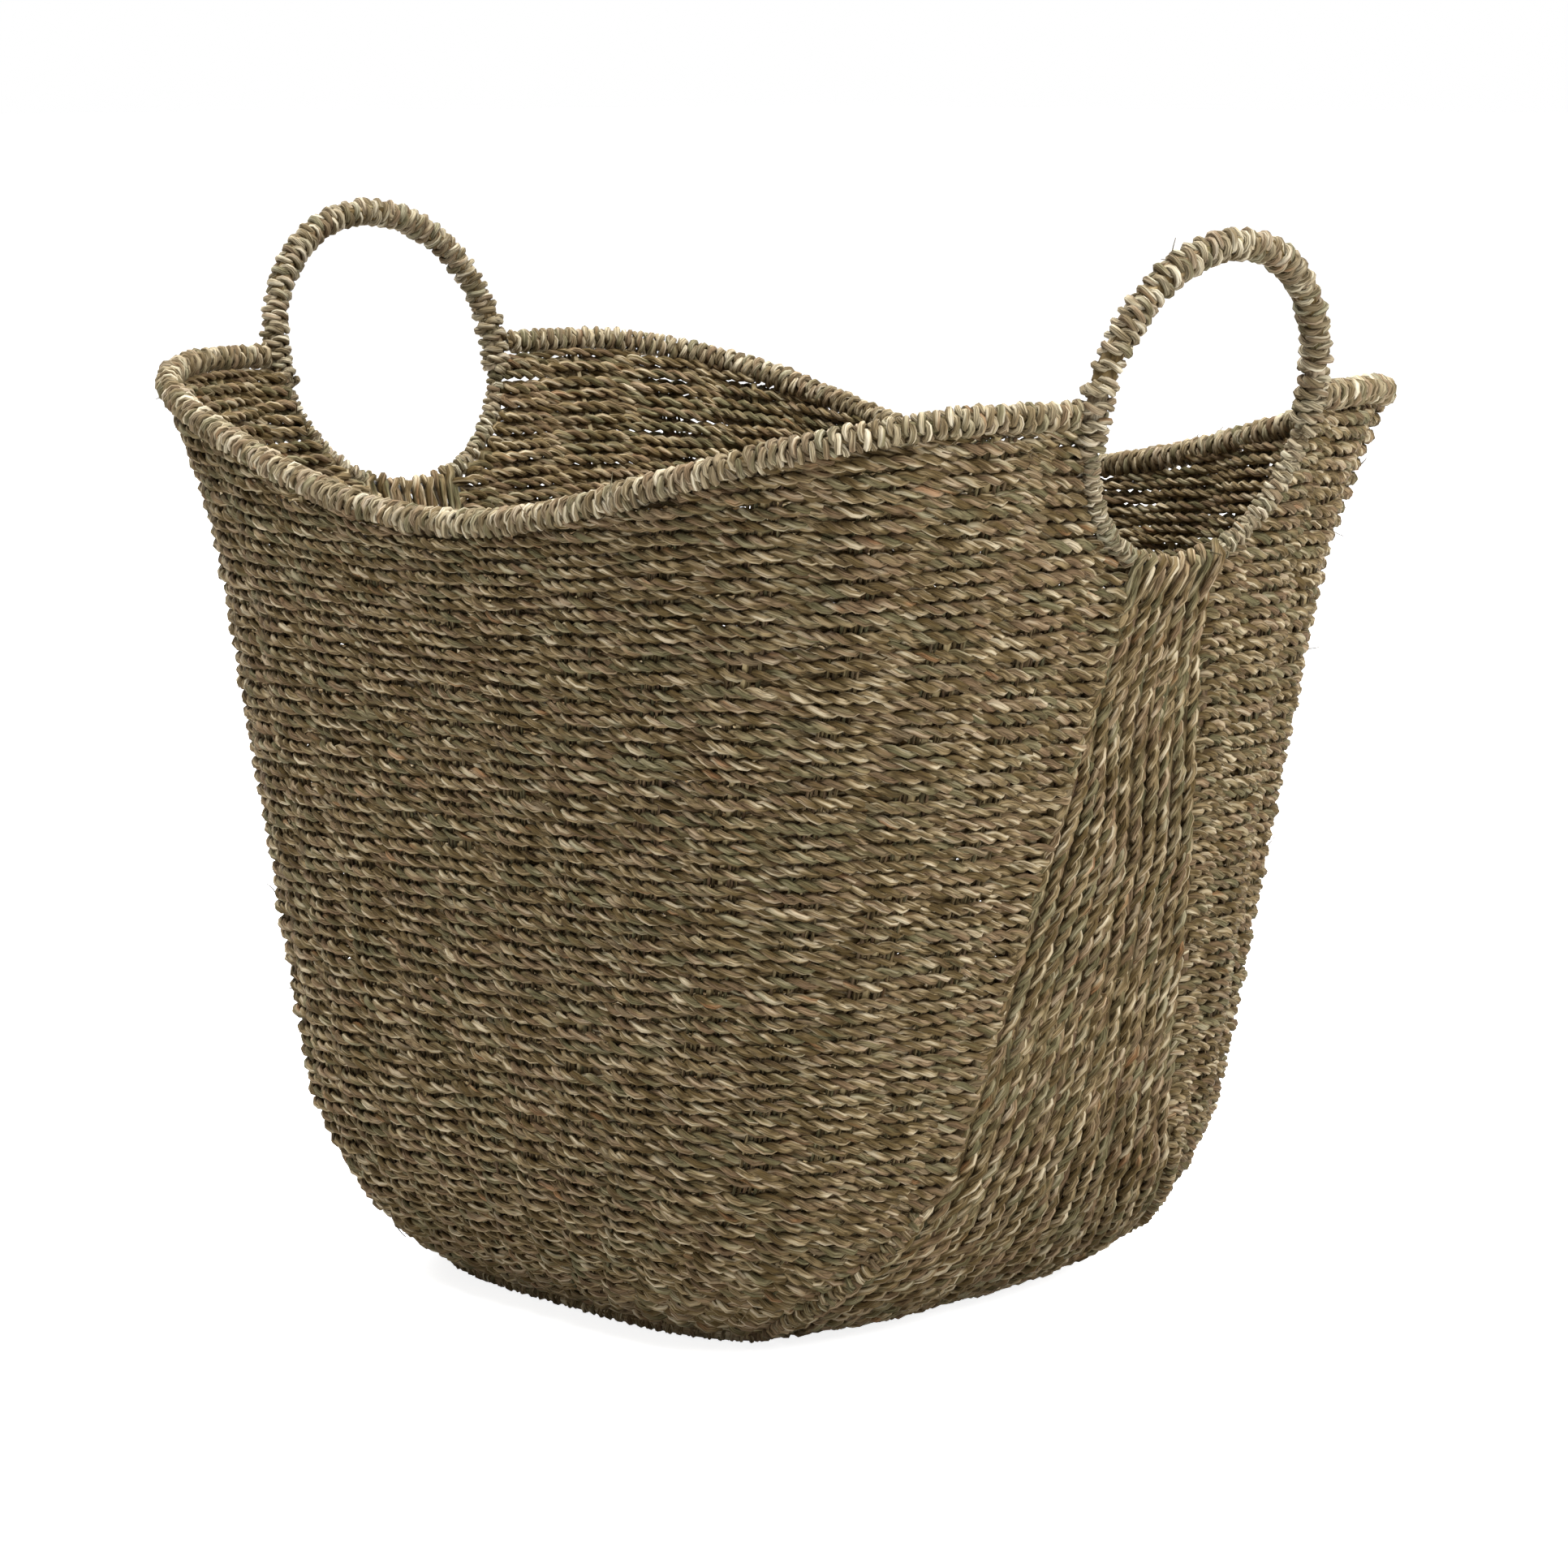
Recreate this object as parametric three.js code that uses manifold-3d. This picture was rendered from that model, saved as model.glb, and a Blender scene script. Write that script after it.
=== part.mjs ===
// A magazine basket of twisted seagrass rope, woven on a frame of steel wire and cane stakes.
// Millimetres, +Z up. The origin is under the middle of the basket, on the surface that it stands on.
// +X points to one handle and -Y to the front. The back and the other end are half turns of these two.
import * as THREE from "three";
import { mergeVertices } from "three/addons/utils/BufferGeometryUtils.js";
import Module from "manifold-3d";

const wasm = await Module();
wasm.setup();

// Body: the outer face of the wall, from the floor up to the rim
const rimHeight = 318; // middle of the rim at the handles
const rimDip = 41; // how much lower the rim runs at the middle of each long side
const rimHalfLength = 203; // to the middle of the rim
const rimHalfWidth = 156;
const endSlope = 0.211; // lean of the walls at the ends and the sides, as the tangent of its angle
const sideSlope = 0.091;
const footRise = 75; // the wall turns in to the base over this height
const endTuck = 54; // and by this much at the ends and at the sides
const sideTuck = 45;
const cornerFlare = 6; // the rim stands out this much more at its four corners
const flareStartShare = 0.75; // share of the height above which the wall flares
const footOutlinePower = 3.5; // power of the rounded outline on the floor, where 2 is an ellipse
const rimOutlinePower = 3.2;

// Weave
const wall = 7.5; // two layers of rope, one outside and one inside the stakes
const clearance = 0.3; // between pieces that touch
const looseFit = 0.5; // between a padding and the cord wound on it, and round the rim and the base wire

// Frame
const wireRadius = 1.25;
const stakeRadius = 1.3;
const stakesOnSide = 7;
const cornerShare = 0.4; // the wall is nearly straight up to this share of the way
const stakeSpreadShare = 0.75; // the outermost stake, as a share of the way to the seam
const rungsOnEnd = 4;
const rungMargin = 24; // from the foot and from the opening to the nearest rung
const baseStakes = 5;
const baseSides = 24;
const footSteps = 4; // straight steps in the turn of the foot, in the wall and in the curve of the opening
const wallSteps = 2;
const openingSteps = 4;

// Handle rings, which are also the edge of the opening in each end
const ringRadius = 53.5;
const ringSlope = 0.235; // lean of the ring, as the tangent of its angle
const ringSteps = 32;
const gripRadius = 6.3;
const gripCordHalfWidth = 2.1;
const bindingRadius = 4.6;
const tieRadius = 5.4;
const tieTurns = 3;

// Rim
const rimRadius = 5.2;
const rimCordHalfWidth = 2.1;
const cordHalfThickness = 1.1;
const rimStepsPerStake = 4;
const rimLoops = 16;
const gripLoops = 22;
const loopSteps = 8;

// Gusset between the two seams of an end: half its width as a share of the wall's half width, by height
const seamHeightShares = [0, 0.04, 0.1, 0.2, 0.5, 0.9, 1];
const seamWidthShares = [0.82, 0.76, 0.61, 0.43, 0.285, 0.11, 0.08];

// Places worked out from those sizes
const bore = wireRadius + clearance;
const rimCoreRadius = rimRadius - 2 * cordHalfThickness - looseFit;
const gripCoreRadius = gripRadius - 2 * cordHalfThickness - looseFit;
const grooveDepth = wall / 2 + stakeRadius + clearance;
const stakeDepth = wall / 2; // the ropes pass the stakes on both sides
const grooveHalfWidth = stakeRadius + clearance;
const wallTop = rimHeight - rimRadius - looseFit; // top edge of the woven wall at the handles
const ringCosine = 1 / Math.hypot(1, ringSlope);
const ringAngleStep = (2 * Math.PI) / ringSteps;
const tieHalfHeight = (ringRadius - gripRadius) * Math.sin(ringAngleStep) - clearance;
const midRise = (wall / 2) * ringSlope * ringCosine; // the middle of a leaning wall is this much higher

const mix = THREE.MathUtils.lerp;
const clamp = THREE.MathUtils.clamp;
const toPower = (value, power) => Math.sign(value) * Math.abs(value) ** power;

// Colours
const finish = (color, roughness, metalness = 0) => ({ color, roughness, metalness });
const rope = finish(0x84755a, 0.9);
const cord = finish(0x97876a, 0.85);
const padding = finish(0x7a6b50, 0.95);
const steel = finish(0x6d6d6a, 0.45, 0.9);
const cane = finish(0xc9b68c, 0.7);

const basket = new THREE.Group();
const front = new THREE.Group();
const back = new THREE.Group();
const rightEnd = new THREE.Group();
const leftEnd = new THREE.Group();
back.rotation.z = Math.PI;
leftEnd.rotation.z = Math.PI;
basket.add(front, back, rightEnd, leftEnd);

function addPiece(group, name, geometry, look) {
  const mesh = new THREE.Mesh(geometry, new THREE.MeshStandardMaterial(look));
  mesh.name = name;
  group.add(mesh);
}

// The share at a height, along a line of shares
function tableShare(heightShare, heightShares, shares) {
  const last = heightShares.length - 1;
  let i = 0;
  while (i < last - 1 && heightShare > heightShares[i + 1]) i++;
  const part = (heightShare - heightShares[i]) / (heightShares[i + 1] - heightShares[i]);
  return mix(shares[i], shares[i + 1], clamp(part, 0, 1));
}

// Half length and half width of the wall's outer face at a height
function halfSizes(z) {
  const tuckShare = 1 - Math.sin(Math.acos(clamp(1 - z / footRise, 0, 1)));
  const flare = flareShareAt(z) * (wall / 2);
  const drop = rimHeight - z;
  return [
    rimHalfLength - endSlope * drop - endTuck * tuckShare + flare,
    rimHalfWidth - sideSlope * drop - sideTuck * tuckShare + flare,
  ];
}

function flareShareAt(z) {
  return clamp((z / rimHeight - flareStartShare) / (1 - flareStartShare), 0, 1) ** 2;
}

function outlinePowerAt(z) {
  return mix(footOutlinePower, rimOutlinePower, z / rimHeight);
}

// A point of the wall's outer face. Angle 0 is the middle of the right end, and -90 degrees the front.
function wallPoint(angle, z) {
  const [halfLength, halfWidth] = halfSizes(z);
  const power = 2 / outlinePowerAt(z);
  const c = Math.cos(angle);
  const s = Math.sin(angle);
  const flare = cornerFlare * flareShareAt(z) * (2 * c * s) ** 2;
  const x = toPower(c, power) * halfLength + Math.sign(c) * flare;
  const y = toPower(s, power) * halfWidth + Math.sign(s) * flare;
  return new THREE.Vector3(x, y, z);
}

function seamHalfWidth(z) {
  return halfSizes(z)[1] * tableShare(z / rimHeight, seamHeightShares, seamWidthShares);
}

// The point of the right end's outer face at a distance y from its middle
function endPoint(y, z) {
  const share = Math.min(Math.abs(y) / halfSizes(z)[1], 1);
  return wallPoint(Math.sign(y) * Math.asin(share ** (outlinePowerAt(z) / 2)), z);
}

// One height of the outer face, from the middle of the front round to the middle of the right end
const lineSteps = 60;
const lineCache = new Map();
function wallLine(z) {
  if (lineCache.has(z)) return lineCache.get(z);
  const points = [];
  const distances = [0];
  for (let i = 0; i <= lineSteps; i++) {
    points.push(wallPoint(((i / lineSteps - 1) * Math.PI) / 2, z));
    if (i > 0) distances.push(distances[i - 1] + points[i].distanceTo(points[i - 1]));
  }
  const line = { points, distances };
  lineCache.set(z, line);
  return line;
}

function pointAlong({ points, distances }, distance) {
  let i = 1;
  while (i < lineSteps && distances[i] < distance) i++;
  const part = (distance - distances[i - 1]) / (distances[i] - distances[i - 1]);
  return points[i - 1].clone().lerp(points[i], part);
}

function distanceToWidth({ points, distances }, halfWidth) {
  let i = 1;
  while (i < lineSteps && points[i].y < -halfWidth) i++;
  const part = (-halfWidth - points[i - 1].y) / (points[i].y - points[i - 1].y);
  return mix(distances[i - 1], distances[i], clamp(part, 0, 1));
}

const seamDistance = (z) => distanceToWidth(wallLine(z), seamHalfWidth(z));

// The front's outer face: share is -1 at the left seam and 1 at the right one
function frontPoint(share, z) {
  const point = pointAlong(wallLine(z), Math.abs(share) * seamDistance(z));
  if (share < 0) point.x = -point.x;
  return point;
}

// Height of the rim's middle over the front, level at both handles
const rimRootDistance = distanceToWidth(wallLine(rimHeight), ringRadius + tieRadius + clearance);
const rimRootShare = rimRootDistance / seamDistance(rimHeight);
const levelRimShare = 0.93; // share of the way to the handles past which the rim is level
function rimHeightAt(share) {
  const part = clamp(Math.abs(share) / (rimRootShare * levelRimShare), 0, 1);
  return rimHeight - rimDip * Math.cos((part * Math.PI) / 2) ** 2;
}

// The height over the front of a level that has a given height at the handles
function levelHeight(share, level) {
  if (level <= footRise) return level;
  const drop = rimHeight - rimHeightAt(share);
  return level - (drop * (level - footRise)) / (wallTop - footRise);
}

const frontSurface = (share, level) => frontPoint(share, levelHeight(share, level));

// The outward direction of a surface of two values, from points close by
const nudgeShare = 0.004;
const nudge = footRise * nudgeShare;
function outward(surface, share, level) {
  const low = Math.max(level - nudge, 0);
  const across = surface(share + nudgeShare, level).sub(surface(share - nudgeShare, level));
  const up = surface(share, level + nudge).sub(surface(share, low));
  return across.cross(up).normalize();
}

const inside = (surface, share, level, depth) =>
  surface(share, level).addScaledVector(outward(surface, share, level), -depth);

// The seam between the front and the right gusset, in the middle of the wall
const endSurface = (share, level) => endPoint(share * seamHalfWidth(level), level);
function seamPoint(z) {
  return inside(endSurface, -1, z, wall / 2);
}

// How much wider a band that runs up a surface is along a level line than straight across it
function slantFactor(surface, share, level) {
  const low = Math.max(level - nudge, 0);
  const along = surface(share, level + nudge).sub(surface(share, low)).normalize();
  const across = surface(share + nudgeShare, level).sub(surface(share - nudgeShare, level));
  return 1 / along.cross(across.normalize()).length();
}

// How far along a level line the weave stops short of the seam's middle, so that it clears the wire
const seamSetback = (level) => (wireRadius + clearance) * slantFactor(endSurface, -1, level);

// The weave stays outside these circles round the ring, whose curve it follows in straight steps
const panelRing = (ringRadius + tieRadius + clearance) / Math.cos(Math.PI / 4 / openingSteps);
const gussetRing = ringRadius + bindingRadius + looseFit;

// Half the width that such a circle takes at a level of the wall, and the level of its lowest part
function ringHalfWidth(radius, level) {
  const rise = (level + midRise - rimHeight) / ringCosine;
  return Math.sqrt(Math.max(radius ** 2 - rise ** 2, 0));
}
const ringBottom = (radius, y) => rimHeight - midRise - Math.sqrt(radius ** 2 - y ** 2) * ringCosine;

// A closed skin round the solid cells of a bent grid, whose corners corner(i, j, k) gives
function cellSolid(counts, corner, isSolid) {
  const sides = [
    [[-1, 0, 0], [[0, 0, 0], [0, 0, 1], [0, 1, 1], [0, 1, 0]]],
    [[1, 0, 0], [[1, 0, 0], [1, 1, 0], [1, 1, 1], [1, 0, 1]]],
    [[0, -1, 0], [[0, 0, 0], [1, 0, 0], [1, 0, 1], [0, 0, 1]]],
    [[0, 1, 0], [[0, 1, 0], [0, 1, 1], [1, 1, 1], [1, 1, 0]]],
    [[0, 0, -1], [[0, 0, 0], [0, 1, 0], [1, 1, 0], [1, 0, 0]]],
    [[0, 0, 1], [[0, 0, 1], [1, 0, 1], [1, 1, 1], [0, 1, 1]]],
  ];
  const filled = (cell) => cell.every((n, axis) => n >= 0 && n < counts[axis]) && isSolid(...cell);
  const positions = [];
  for (let i = 0; i < counts[0]; i++)
    for (let j = 0; j < counts[1]; j++)
      for (let k = 0; k < counts[2]; k++) {
        if (!filled([i, j, k])) continue;
        for (const [step, corners] of sides) {
          if (filled([i + step[0], j + step[1], k + step[2]])) continue;
          const [a, b, c, d] = corners.map((at) => corner(i + at[0], j + at[1], k + at[2]));
          for (const point of [a, b, c, a, c, d]) positions.push(...point);
        }
      }
  const geometry = new THREE.BufferGeometry();
  geometry.setAttribute("position", new THREE.Float32BufferAttribute(positions, 3));
  return geometry;
}

// A line of straight steps, on which a swept section stands at each of the points
class Polyline extends THREE.Curve {
  constructor(points) {
    super();
    this.points = points;
  }
  getPoint(share) {
    const last = this.points.length - 1;
    const i = Math.min(Math.floor(share * last), last - 1);
    return this.points[i].clone().lerp(this.points[i + 1], share * last - i);
  }
  getPointAt(share) {
    return this.getPoint(share);
  }
  getTangentAt(share) {
    const last = this.points.length - 1;
    const i = Math.round(share * last);
    const before = this.points[Math.max(i - 1, 0)];
    const after = this.points[Math.min(i + 1, last)];
    return after.clone().sub(before).normalize();
  }
}

// A regular outline whose flats, or whose corners, are at the radius
function polygon(radius, sides, byFlats = false) {
  const reach = byFlats ? radius / Math.cos(Math.PI / sides) : radius;
  const points = [];
  for (let i = 0; i < sides; i++) {
    const angle = (2 * Math.PI * i) / sides;
    points.push(new THREE.Vector2(reach * Math.cos(angle), reach * Math.sin(angle)));
  }
  return points;
}

const wireSides = 6;
const stakeSides = 5;
const paddingSides = 8;

function tube(points, radius, sides, boreRadius = 0) {
  const shape = new THREE.Shape(polygon(radius, sides));
  if (boreRadius > 0) shape.holes.push(new THREE.Path(polygon(boreRadius, wireSides, true)));
  const extrudePath = new Polyline(points);
  return new THREE.ExtrudeGeometry(shape, { steps: points.length - 1, extrudePath });
}

// Joining and cutting of closed solids
function solidOf(geometry) {
  const bare = new THREE.BufferGeometry();
  bare.setAttribute("position", geometry.getAttribute("position"));
  bare.setIndex(geometry.index);
  const merged = mergeVertices(bare, clearance * 0.001);
  const vertProperties = merged.getAttribute("position").array;
  const triVerts = new Uint32Array(merged.index.array);
  return new wasm.Manifold(new wasm.Mesh({ numProp: 3, vertProperties, triVerts }));
}

function geometryOf(solid) {
  const { vertProperties, triVerts } = solid.getMesh();
  const geometry = new THREE.BufferGeometry();
  geometry.setAttribute("position", new THREE.BufferAttribute(vertProperties, 3));
  geometry.setIndex(new THREE.BufferAttribute(triVerts, 1));
  return geometry;
}

// Levels of the wall: the turn of the foot, the straight wall and the curve of the opening
function levelsTo(top, openingBottom) {
  const levels = [];
  for (let i = 0; i <= footSteps; i++)
    levels.push(footRise * (1 - Math.cos((i / footSteps) * (Math.PI / 2))));
  for (let i = 1; i <= wallSteps; i++) levels.push(mix(footRise, openingBottom, i / wallSteps));
  for (let i = 1; i <= openingSteps; i++)
    levels.push(mix(openingBottom, top, Math.sin((i / openingSteps) * (Math.PI / 2)) ** 1.5));
  return levels;
}

// Side panel: the weave of the front or back, which reaches round both corners to the seams
const seamTop = ringBottom(panelRing, seamHalfWidth(ringBottom(panelRing, 0)));
const sideLevels = levelsTo(wallTop, seamTop);
const sideStakeShares = [];
for (let i = 0; i < stakesOnSide; i++)
  sideStakeShares.push(mix(-stakeSpreadShare, stakeSpreadShare, i / (stakesOnSide - 1)));

// The share at which the side panel ends at a level
function sideEdgeShare(level) {
  const line = wallLine(level);
  const atSeam = seamDistance(level) - seamSetback(level);
  const atRing = distanceToWidth(line, ringHalfWidth(panelRing, level));
  return Math.min(atSeam, atRing) / seamDistance(level);
}

function sidePanel() {
  const gap = stakeSpreadShare / (stakesOnSide - 1); // half the share between two stakes
  const columns = [(level) => -sideEdgeShare(level), () => -stakeSpreadShare - gap / 2];
  const grooves = new Set();
  for (const share of sideStakeShares) {
    const half = (level) =>
      (grooveHalfWidth * slantFactor(frontSurface, share, level)) / seamDistance(level);
    grooves.add(columns.length);
    columns.push((level) => share - half(level), (level) => share + half(level));
    const middle = share + gap;
    if (middle > stakeSpreadShare) continue;
    const shift = Math.abs(middle) > cornerShare ? gap / 3 : 0;
    columns.push(() => middle - shift);
    if (shift > 0) columns.push(() => middle + shift);
  }
  columns.push(() => stakeSpreadShare + gap / 2, (level) => sideEdgeShare(level));
  const depths = [wall, wall - grooveDepth, 0];
  return cellSolid(
    [columns.length - 1, sideLevels.length - 1, depths.length - 1],
    (i, j, k) => inside(frontSurface, columns[i](sideLevels[j]), sideLevels[j], depths[k]),
    (i, j, k) => k > 0 || !grooves.has(i),
  );
}

function sideStake(share) {
  const points = sideLevels.map((level) => inside(frontSurface, share, level, stakeDepth));
  return tube(points, stakeRadius, stakeSides);
}

// Gusset: the narrow weave of an end, under the opening
const gussetColumns = [-1, -0.9, -0.7, -0.3, 0.3, 0.7, 0.9, 1];
const gussetTop = ringBottom(gussetRing, 0);
const rungHeights = [];
for (let i = 0; i < rungsOnEnd; i++)
  rungHeights.push(mix(footRise * 0.5, gussetTop - rungMargin, i / (rungsOnEnd - 1)));

function gussetPoint(columnShare, level, depth) {
  const halfWidth = seamHalfWidth(level);
  const share = columnShare * (1 - seamSetback(level) / halfWidth);
  return inside(endSurface, share, level, depth);
}

function gusset() {
  const levels = [];
  const grooves = new Set();
  for (let i = 0; i < footSteps; i++)
    levels.push(footRise * (1 - Math.cos((i / footSteps) * (Math.PI / 2))));
  const edges = rungHeights.flatMap((z) => [z - grooveHalfWidth, z + grooveHalfWidth]);
  const all = [...levels, ...edges, footRise].sort((a, b) => a - b);
  all.forEach((level, i) => {
    if (rungHeights.some((z) => Math.abs(level - (z - grooveHalfWidth)) < nudge)) grooves.add(i);
  });
  const depths = [wall, wall - grooveDepth, 0];
  const topLevel = (column) => {
    const halfWidth = seamHalfWidth(gussetTop) * column;
    return ringBottom(gussetRing, halfWidth);
  };
  return cellSolid(
    [gussetColumns.length - 1, all.length, depths.length - 1],
    (i, j, k) => {
      const column = gussetColumns[i];
      return gussetPoint(column, j < all.length ? all[j] : topLevel(column), depths[k]);
    },
    (i, j, k) => k > 0 || !grooves.has(j),
  );
}

const rungShare = 0.97; // share of the gusset's width that a rung takes
function rung(z) {
  const points = gussetColumns.map((column) => gussetPoint(rungShare * column, z, stakeDepth));
  return tube(points, stakeRadius, stakeSides);
}

// Seam wire, from the base wire up to the ring
function seamWire(sign) {
  const bottom = footRise * (1 - Math.cos(Math.asin((2 * wireRadius) / endTuck)));
  const top = ringBottom(gussetRing, seamHalfWidth(gussetTop));
  const levels = sideLevels.filter((level) => level > bottom && level < top);
  const points = [bottom, ...levels, top].map((level) => seamPoint(level));
  for (const point of points) point.y *= sign;
  return tube(points, wireRadius, wireSides);
}

// Base: a flat weave inside the base wire, with stakes let into its upper face
function baseOutline(inset) {
  const places = [];
  for (let i = 0; i < baseSides; i++) places.push(wallPoint((2 * Math.PI * i) / baseSides, 0));
  return places.map((place, i) => {
    const before = places[(i + baseSides - 1) % baseSides];
    const along = places[(i + 1) % baseSides].clone().sub(before).normalize();
    return new THREE.Vector2(place.x - along.y * inset, place.y + along.x * inset);
  });
}

const wireInset = 2 * looseFit;
const baseInset = wireInset + 2 * wireRadius + clearance;
const [baseHalfLength, baseHalfWidth] = halfSizes(0);
const baseStakePlaces = [];
for (let i = 1; i <= baseStakes; i++)
  baseStakePlaces.push(mix(-baseHalfLength, baseHalfLength, i / (baseStakes + 1)));
const baseStakeShare = 0.85; // share of the base's width that a stake takes
const baseStakeHalfLength = baseHalfWidth * baseStakeShare;

function basePanel() {
  const shape = new THREE.Shape(baseOutline(baseInset));
  let solid = solidOf(new THREE.ExtrudeGeometry(shape, { depth: wall, bevelEnabled: false }));
  for (const x of baseStakePlaces) {
    const length = 2 * (baseStakeHalfLength + clearance);
    const groove = new THREE.BoxGeometry(2 * grooveHalfWidth, length, 2 * grooveDepth);
    groove.translate(x, 0, wall);
    solid = solid.subtract(solidOf(groove));
  }
  return geometryOf(solid);
}

function baseStake(x) {
  const ends = [-baseStakeHalfLength, baseStakeHalfLength];
  return tube(ends.map((y) => new THREE.Vector3(x, y, stakeDepth)), stakeRadius, stakeSides);
}

// The wire round the base, whose section is an octagon
function baseWire() {
  const bevel = wireRadius * (2 - Math.SQRT2);
  const shape = new THREE.Shape(baseOutline(wireInset + bevel));
  shape.holes.push(new THREE.Path(baseOutline(wireInset + 2 * wireRadius - bevel)));
  const geometry = new THREE.ExtrudeGeometry(shape, {
    depth: 2 * (wireRadius - bevel),
    bevelThickness: bevel,
    bevelSize: bevel,
    bevelSegments: 1,
  });
  return geometry.translate(0, 0, wall / 2 - wireRadius + bevel);
}

// Rim: a wire in a padding of grass, wound with cord, from one handle's tie to the other's
// Its points are closer together at the corners.
function rimPath() {
  const shares = [-rimRootShare];
  const steps = (stakesOnSide - 1) * rimStepsPerStake;
  for (let i = 0; i <= steps; i++) {
    const share = mix(-stakeSpreadShare, stakeSpreadShare, i / steps);
    if (i % 2 === 0 || Math.abs(share) > cornerShare) shares.push(share);
  }
  shares.push(rimRootShare);
  return shares.map((share) => inside(frontPoint, share, rimHeightAt(share), wall / 2));
}

// Ring: places on a circle that leans with the end wall, from a turn that starts at the front
const ringMiddle = new THREE.Vector3(rimHalfLength, 0, rimHeight);
const ringUp = new THREE.Vector3(ringSlope, 0, 1).normalize();
const ringAcross = new THREE.Vector3(0, 1, 0);
const ringOut = ringAcross.clone().cross(ringUp);
const ringPlace = new THREE.Matrix4().makeBasis(ringAcross, ringUp, ringOut).setPosition(ringMiddle);

function ringArc(fromStep, toStep) {
  const points = [];
  for (let i = fromStep; i <= toStep; i++) {
    const angle = Math.PI - i * ringAngleStep;
    const point = new THREE.Vector3(ringRadius * Math.cos(angle), ringRadius * Math.sin(angle), 0);
    points.push(point.applyMatrix4(ringPlace));
  }
  return points;
}

const ringTorus = (radius) =>
  new THREE.TorusGeometry(ringRadius, radius, wireSides, ringSteps).applyMatrix4(ringPlace);

// Tie: turns of cord that bind the rim to the ring, bored for the ring's wire
const turnShares = [0, 0.3, 0.7]; // the waist and the two shoulders of a turn, as shares of its height
function tie(sign) {
  const profile = [new THREE.Vector2(0, -tieHalfHeight)];
  const turnHeight = (2 * tieHalfHeight) / tieTurns;
  const waist = tieRadius - cordHalfThickness;
  for (let i = 0; i < tieTurns; i++)
    for (const share of turnShares) {
      const radius = share > 0 ? tieRadius : waist;
      profile.push(new THREE.Vector2(radius, -tieHalfHeight + (i + share) * turnHeight));
    }
  profile.push(new THREE.Vector2(waist, tieHalfHeight), new THREE.Vector2(0, tieHalfHeight));
  const barrel = new THREE.LatheGeometry(profile, 8);
  barrel.translate(sign * ringRadius, 0, 0).applyMatrix4(ringPlace);
  return geometryOf(solidOf(barrel).subtract(solidOf(ringTorus(bore / Math.cos(Math.PI / wireSides)))));
}

// The way that a winding takes on its core rolled out flat: distance along the core, and round it
function windingWay(length, radius, halfWidth, loops) {
  const bend = 2 * halfWidth; // the cord turns from along the core to round it on this radius
  const lead = 2 * halfWidth; // and runs straight for its own width at each end
  const start = lead + bend;
  const round = 2 * Math.PI * radius * loops;
  const places = [[clearance, 0]];
  const bendSteps = 3;
  for (let i = 0; i <= bendSteps; i++) {
    const angle = (i / bendSteps) * (Math.PI / 2);
    places.push([lead + bend * Math.sin(angle), bend * (1 - Math.cos(angle))]);
  }
  const steps = loops * loopSteps;
  for (let i = 1; i <= steps; i++)
    places.push([mix(start, length - start, i / steps), bend + (round * i) / steps]);
  for (let i = 1; i <= bendSteps; i++) {
    const angle = (i / bendSteps) * (Math.PI / 2);
    const along = length - start + bend * (1 - Math.cos(angle));
    places.push([along, bend + round + bend * Math.sin(angle)]);
  }
  places.push([length - clearance, 2 * bend + round]);
  return places;
}

// Winding: one unbroken cord round a core that follows a line of points
function winding(name, points, radius, halfWidth, loops, reference) {
  const path = new Polyline(points);
  let length = 0;
  for (let i = 1; i < points.length; i++) length += points[i].distanceTo(points[i - 1]);
  const centreRadius = radius - cordHalfThickness;
  const frames = windingWay(length, centreRadius, halfWidth, loops).map(([along, round]) => {
    const share = clamp(along / length, 0, 1);
    const tangent = path.getTangentAt(share);
    const side = new THREE.Vector3().crossVectors(reference, tangent).normalize();
    const up = new THREE.Vector3().crossVectors(tangent, side);
    const angle = round / centreRadius;
    const outwards = side.multiplyScalar(Math.cos(angle)).addScaledVector(up, Math.sin(angle));
    const centre = path.getPoint(share).addScaledVector(outwards, centreRadius);
    return { centre, outwards };
  });
  const sides = 5;
  const rings = frames.map(({ centre, outwards }, i) => {
    const before = frames[Math.max(i - 1, 0)].centre;
    const after = frames[Math.min(i + 1, frames.length - 1)].centre;
    const forward = after.clone().sub(before).normalize();
    const across = new THREE.Vector3().crossVectors(forward, outwards).normalize();
    const out = new THREE.Vector3().crossVectors(across, forward);
    return polygon(1, sides).map(({ x, y }) =>
      centre.clone().addScaledVector(across, x * halfWidth).addScaledVector(out, y * cordHalfThickness),
    );
  });
  const gap = leastGap(rings);
  console.log(`${name}: ${loops} loops, least gap to itself ${gap.toFixed(2)} mm`);
  return ringLoft(rings);
}

// The least distance between parts of a winding that lie half a loop or more apart
function leastGap(rings) {
  let least = Infinity;
  for (let i = 0; i < rings.length; i++)
    for (let j = i + loopSteps / 2; j < rings.length; j++)
      for (const a of rings[i]) for (const b of rings[j]) least = Math.min(least, a.distanceToSquared(b));
  return Math.sqrt(least);
}

// A closed tube through rings of points
function ringLoft(rings) {
  const sides = rings[0].length;
  const positions = rings.flat().flatMap((point) => point.toArray());
  const index = [];
  for (let i = 0; i + 1 < rings.length; i++)
    for (let j = 0; j < sides; j++) {
      const a = i * sides + j;
      const b = i * sides + ((j + 1) % sides);
      index.push(a, b + sides, b, a, a + sides, b + sides);
    }
  const last = (rings.length - 1) * sides;
  for (let j = 1; j + 1 < sides; j++) index.push(0, j, j + 1, last, last + j + 1, last + j);
  const geometry = new THREE.BufferGeometry();
  geometry.setAttribute("position", new THREE.Float32BufferAttribute(positions, 3));
  geometry.setIndex(index);
  return geometry;
}

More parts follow.
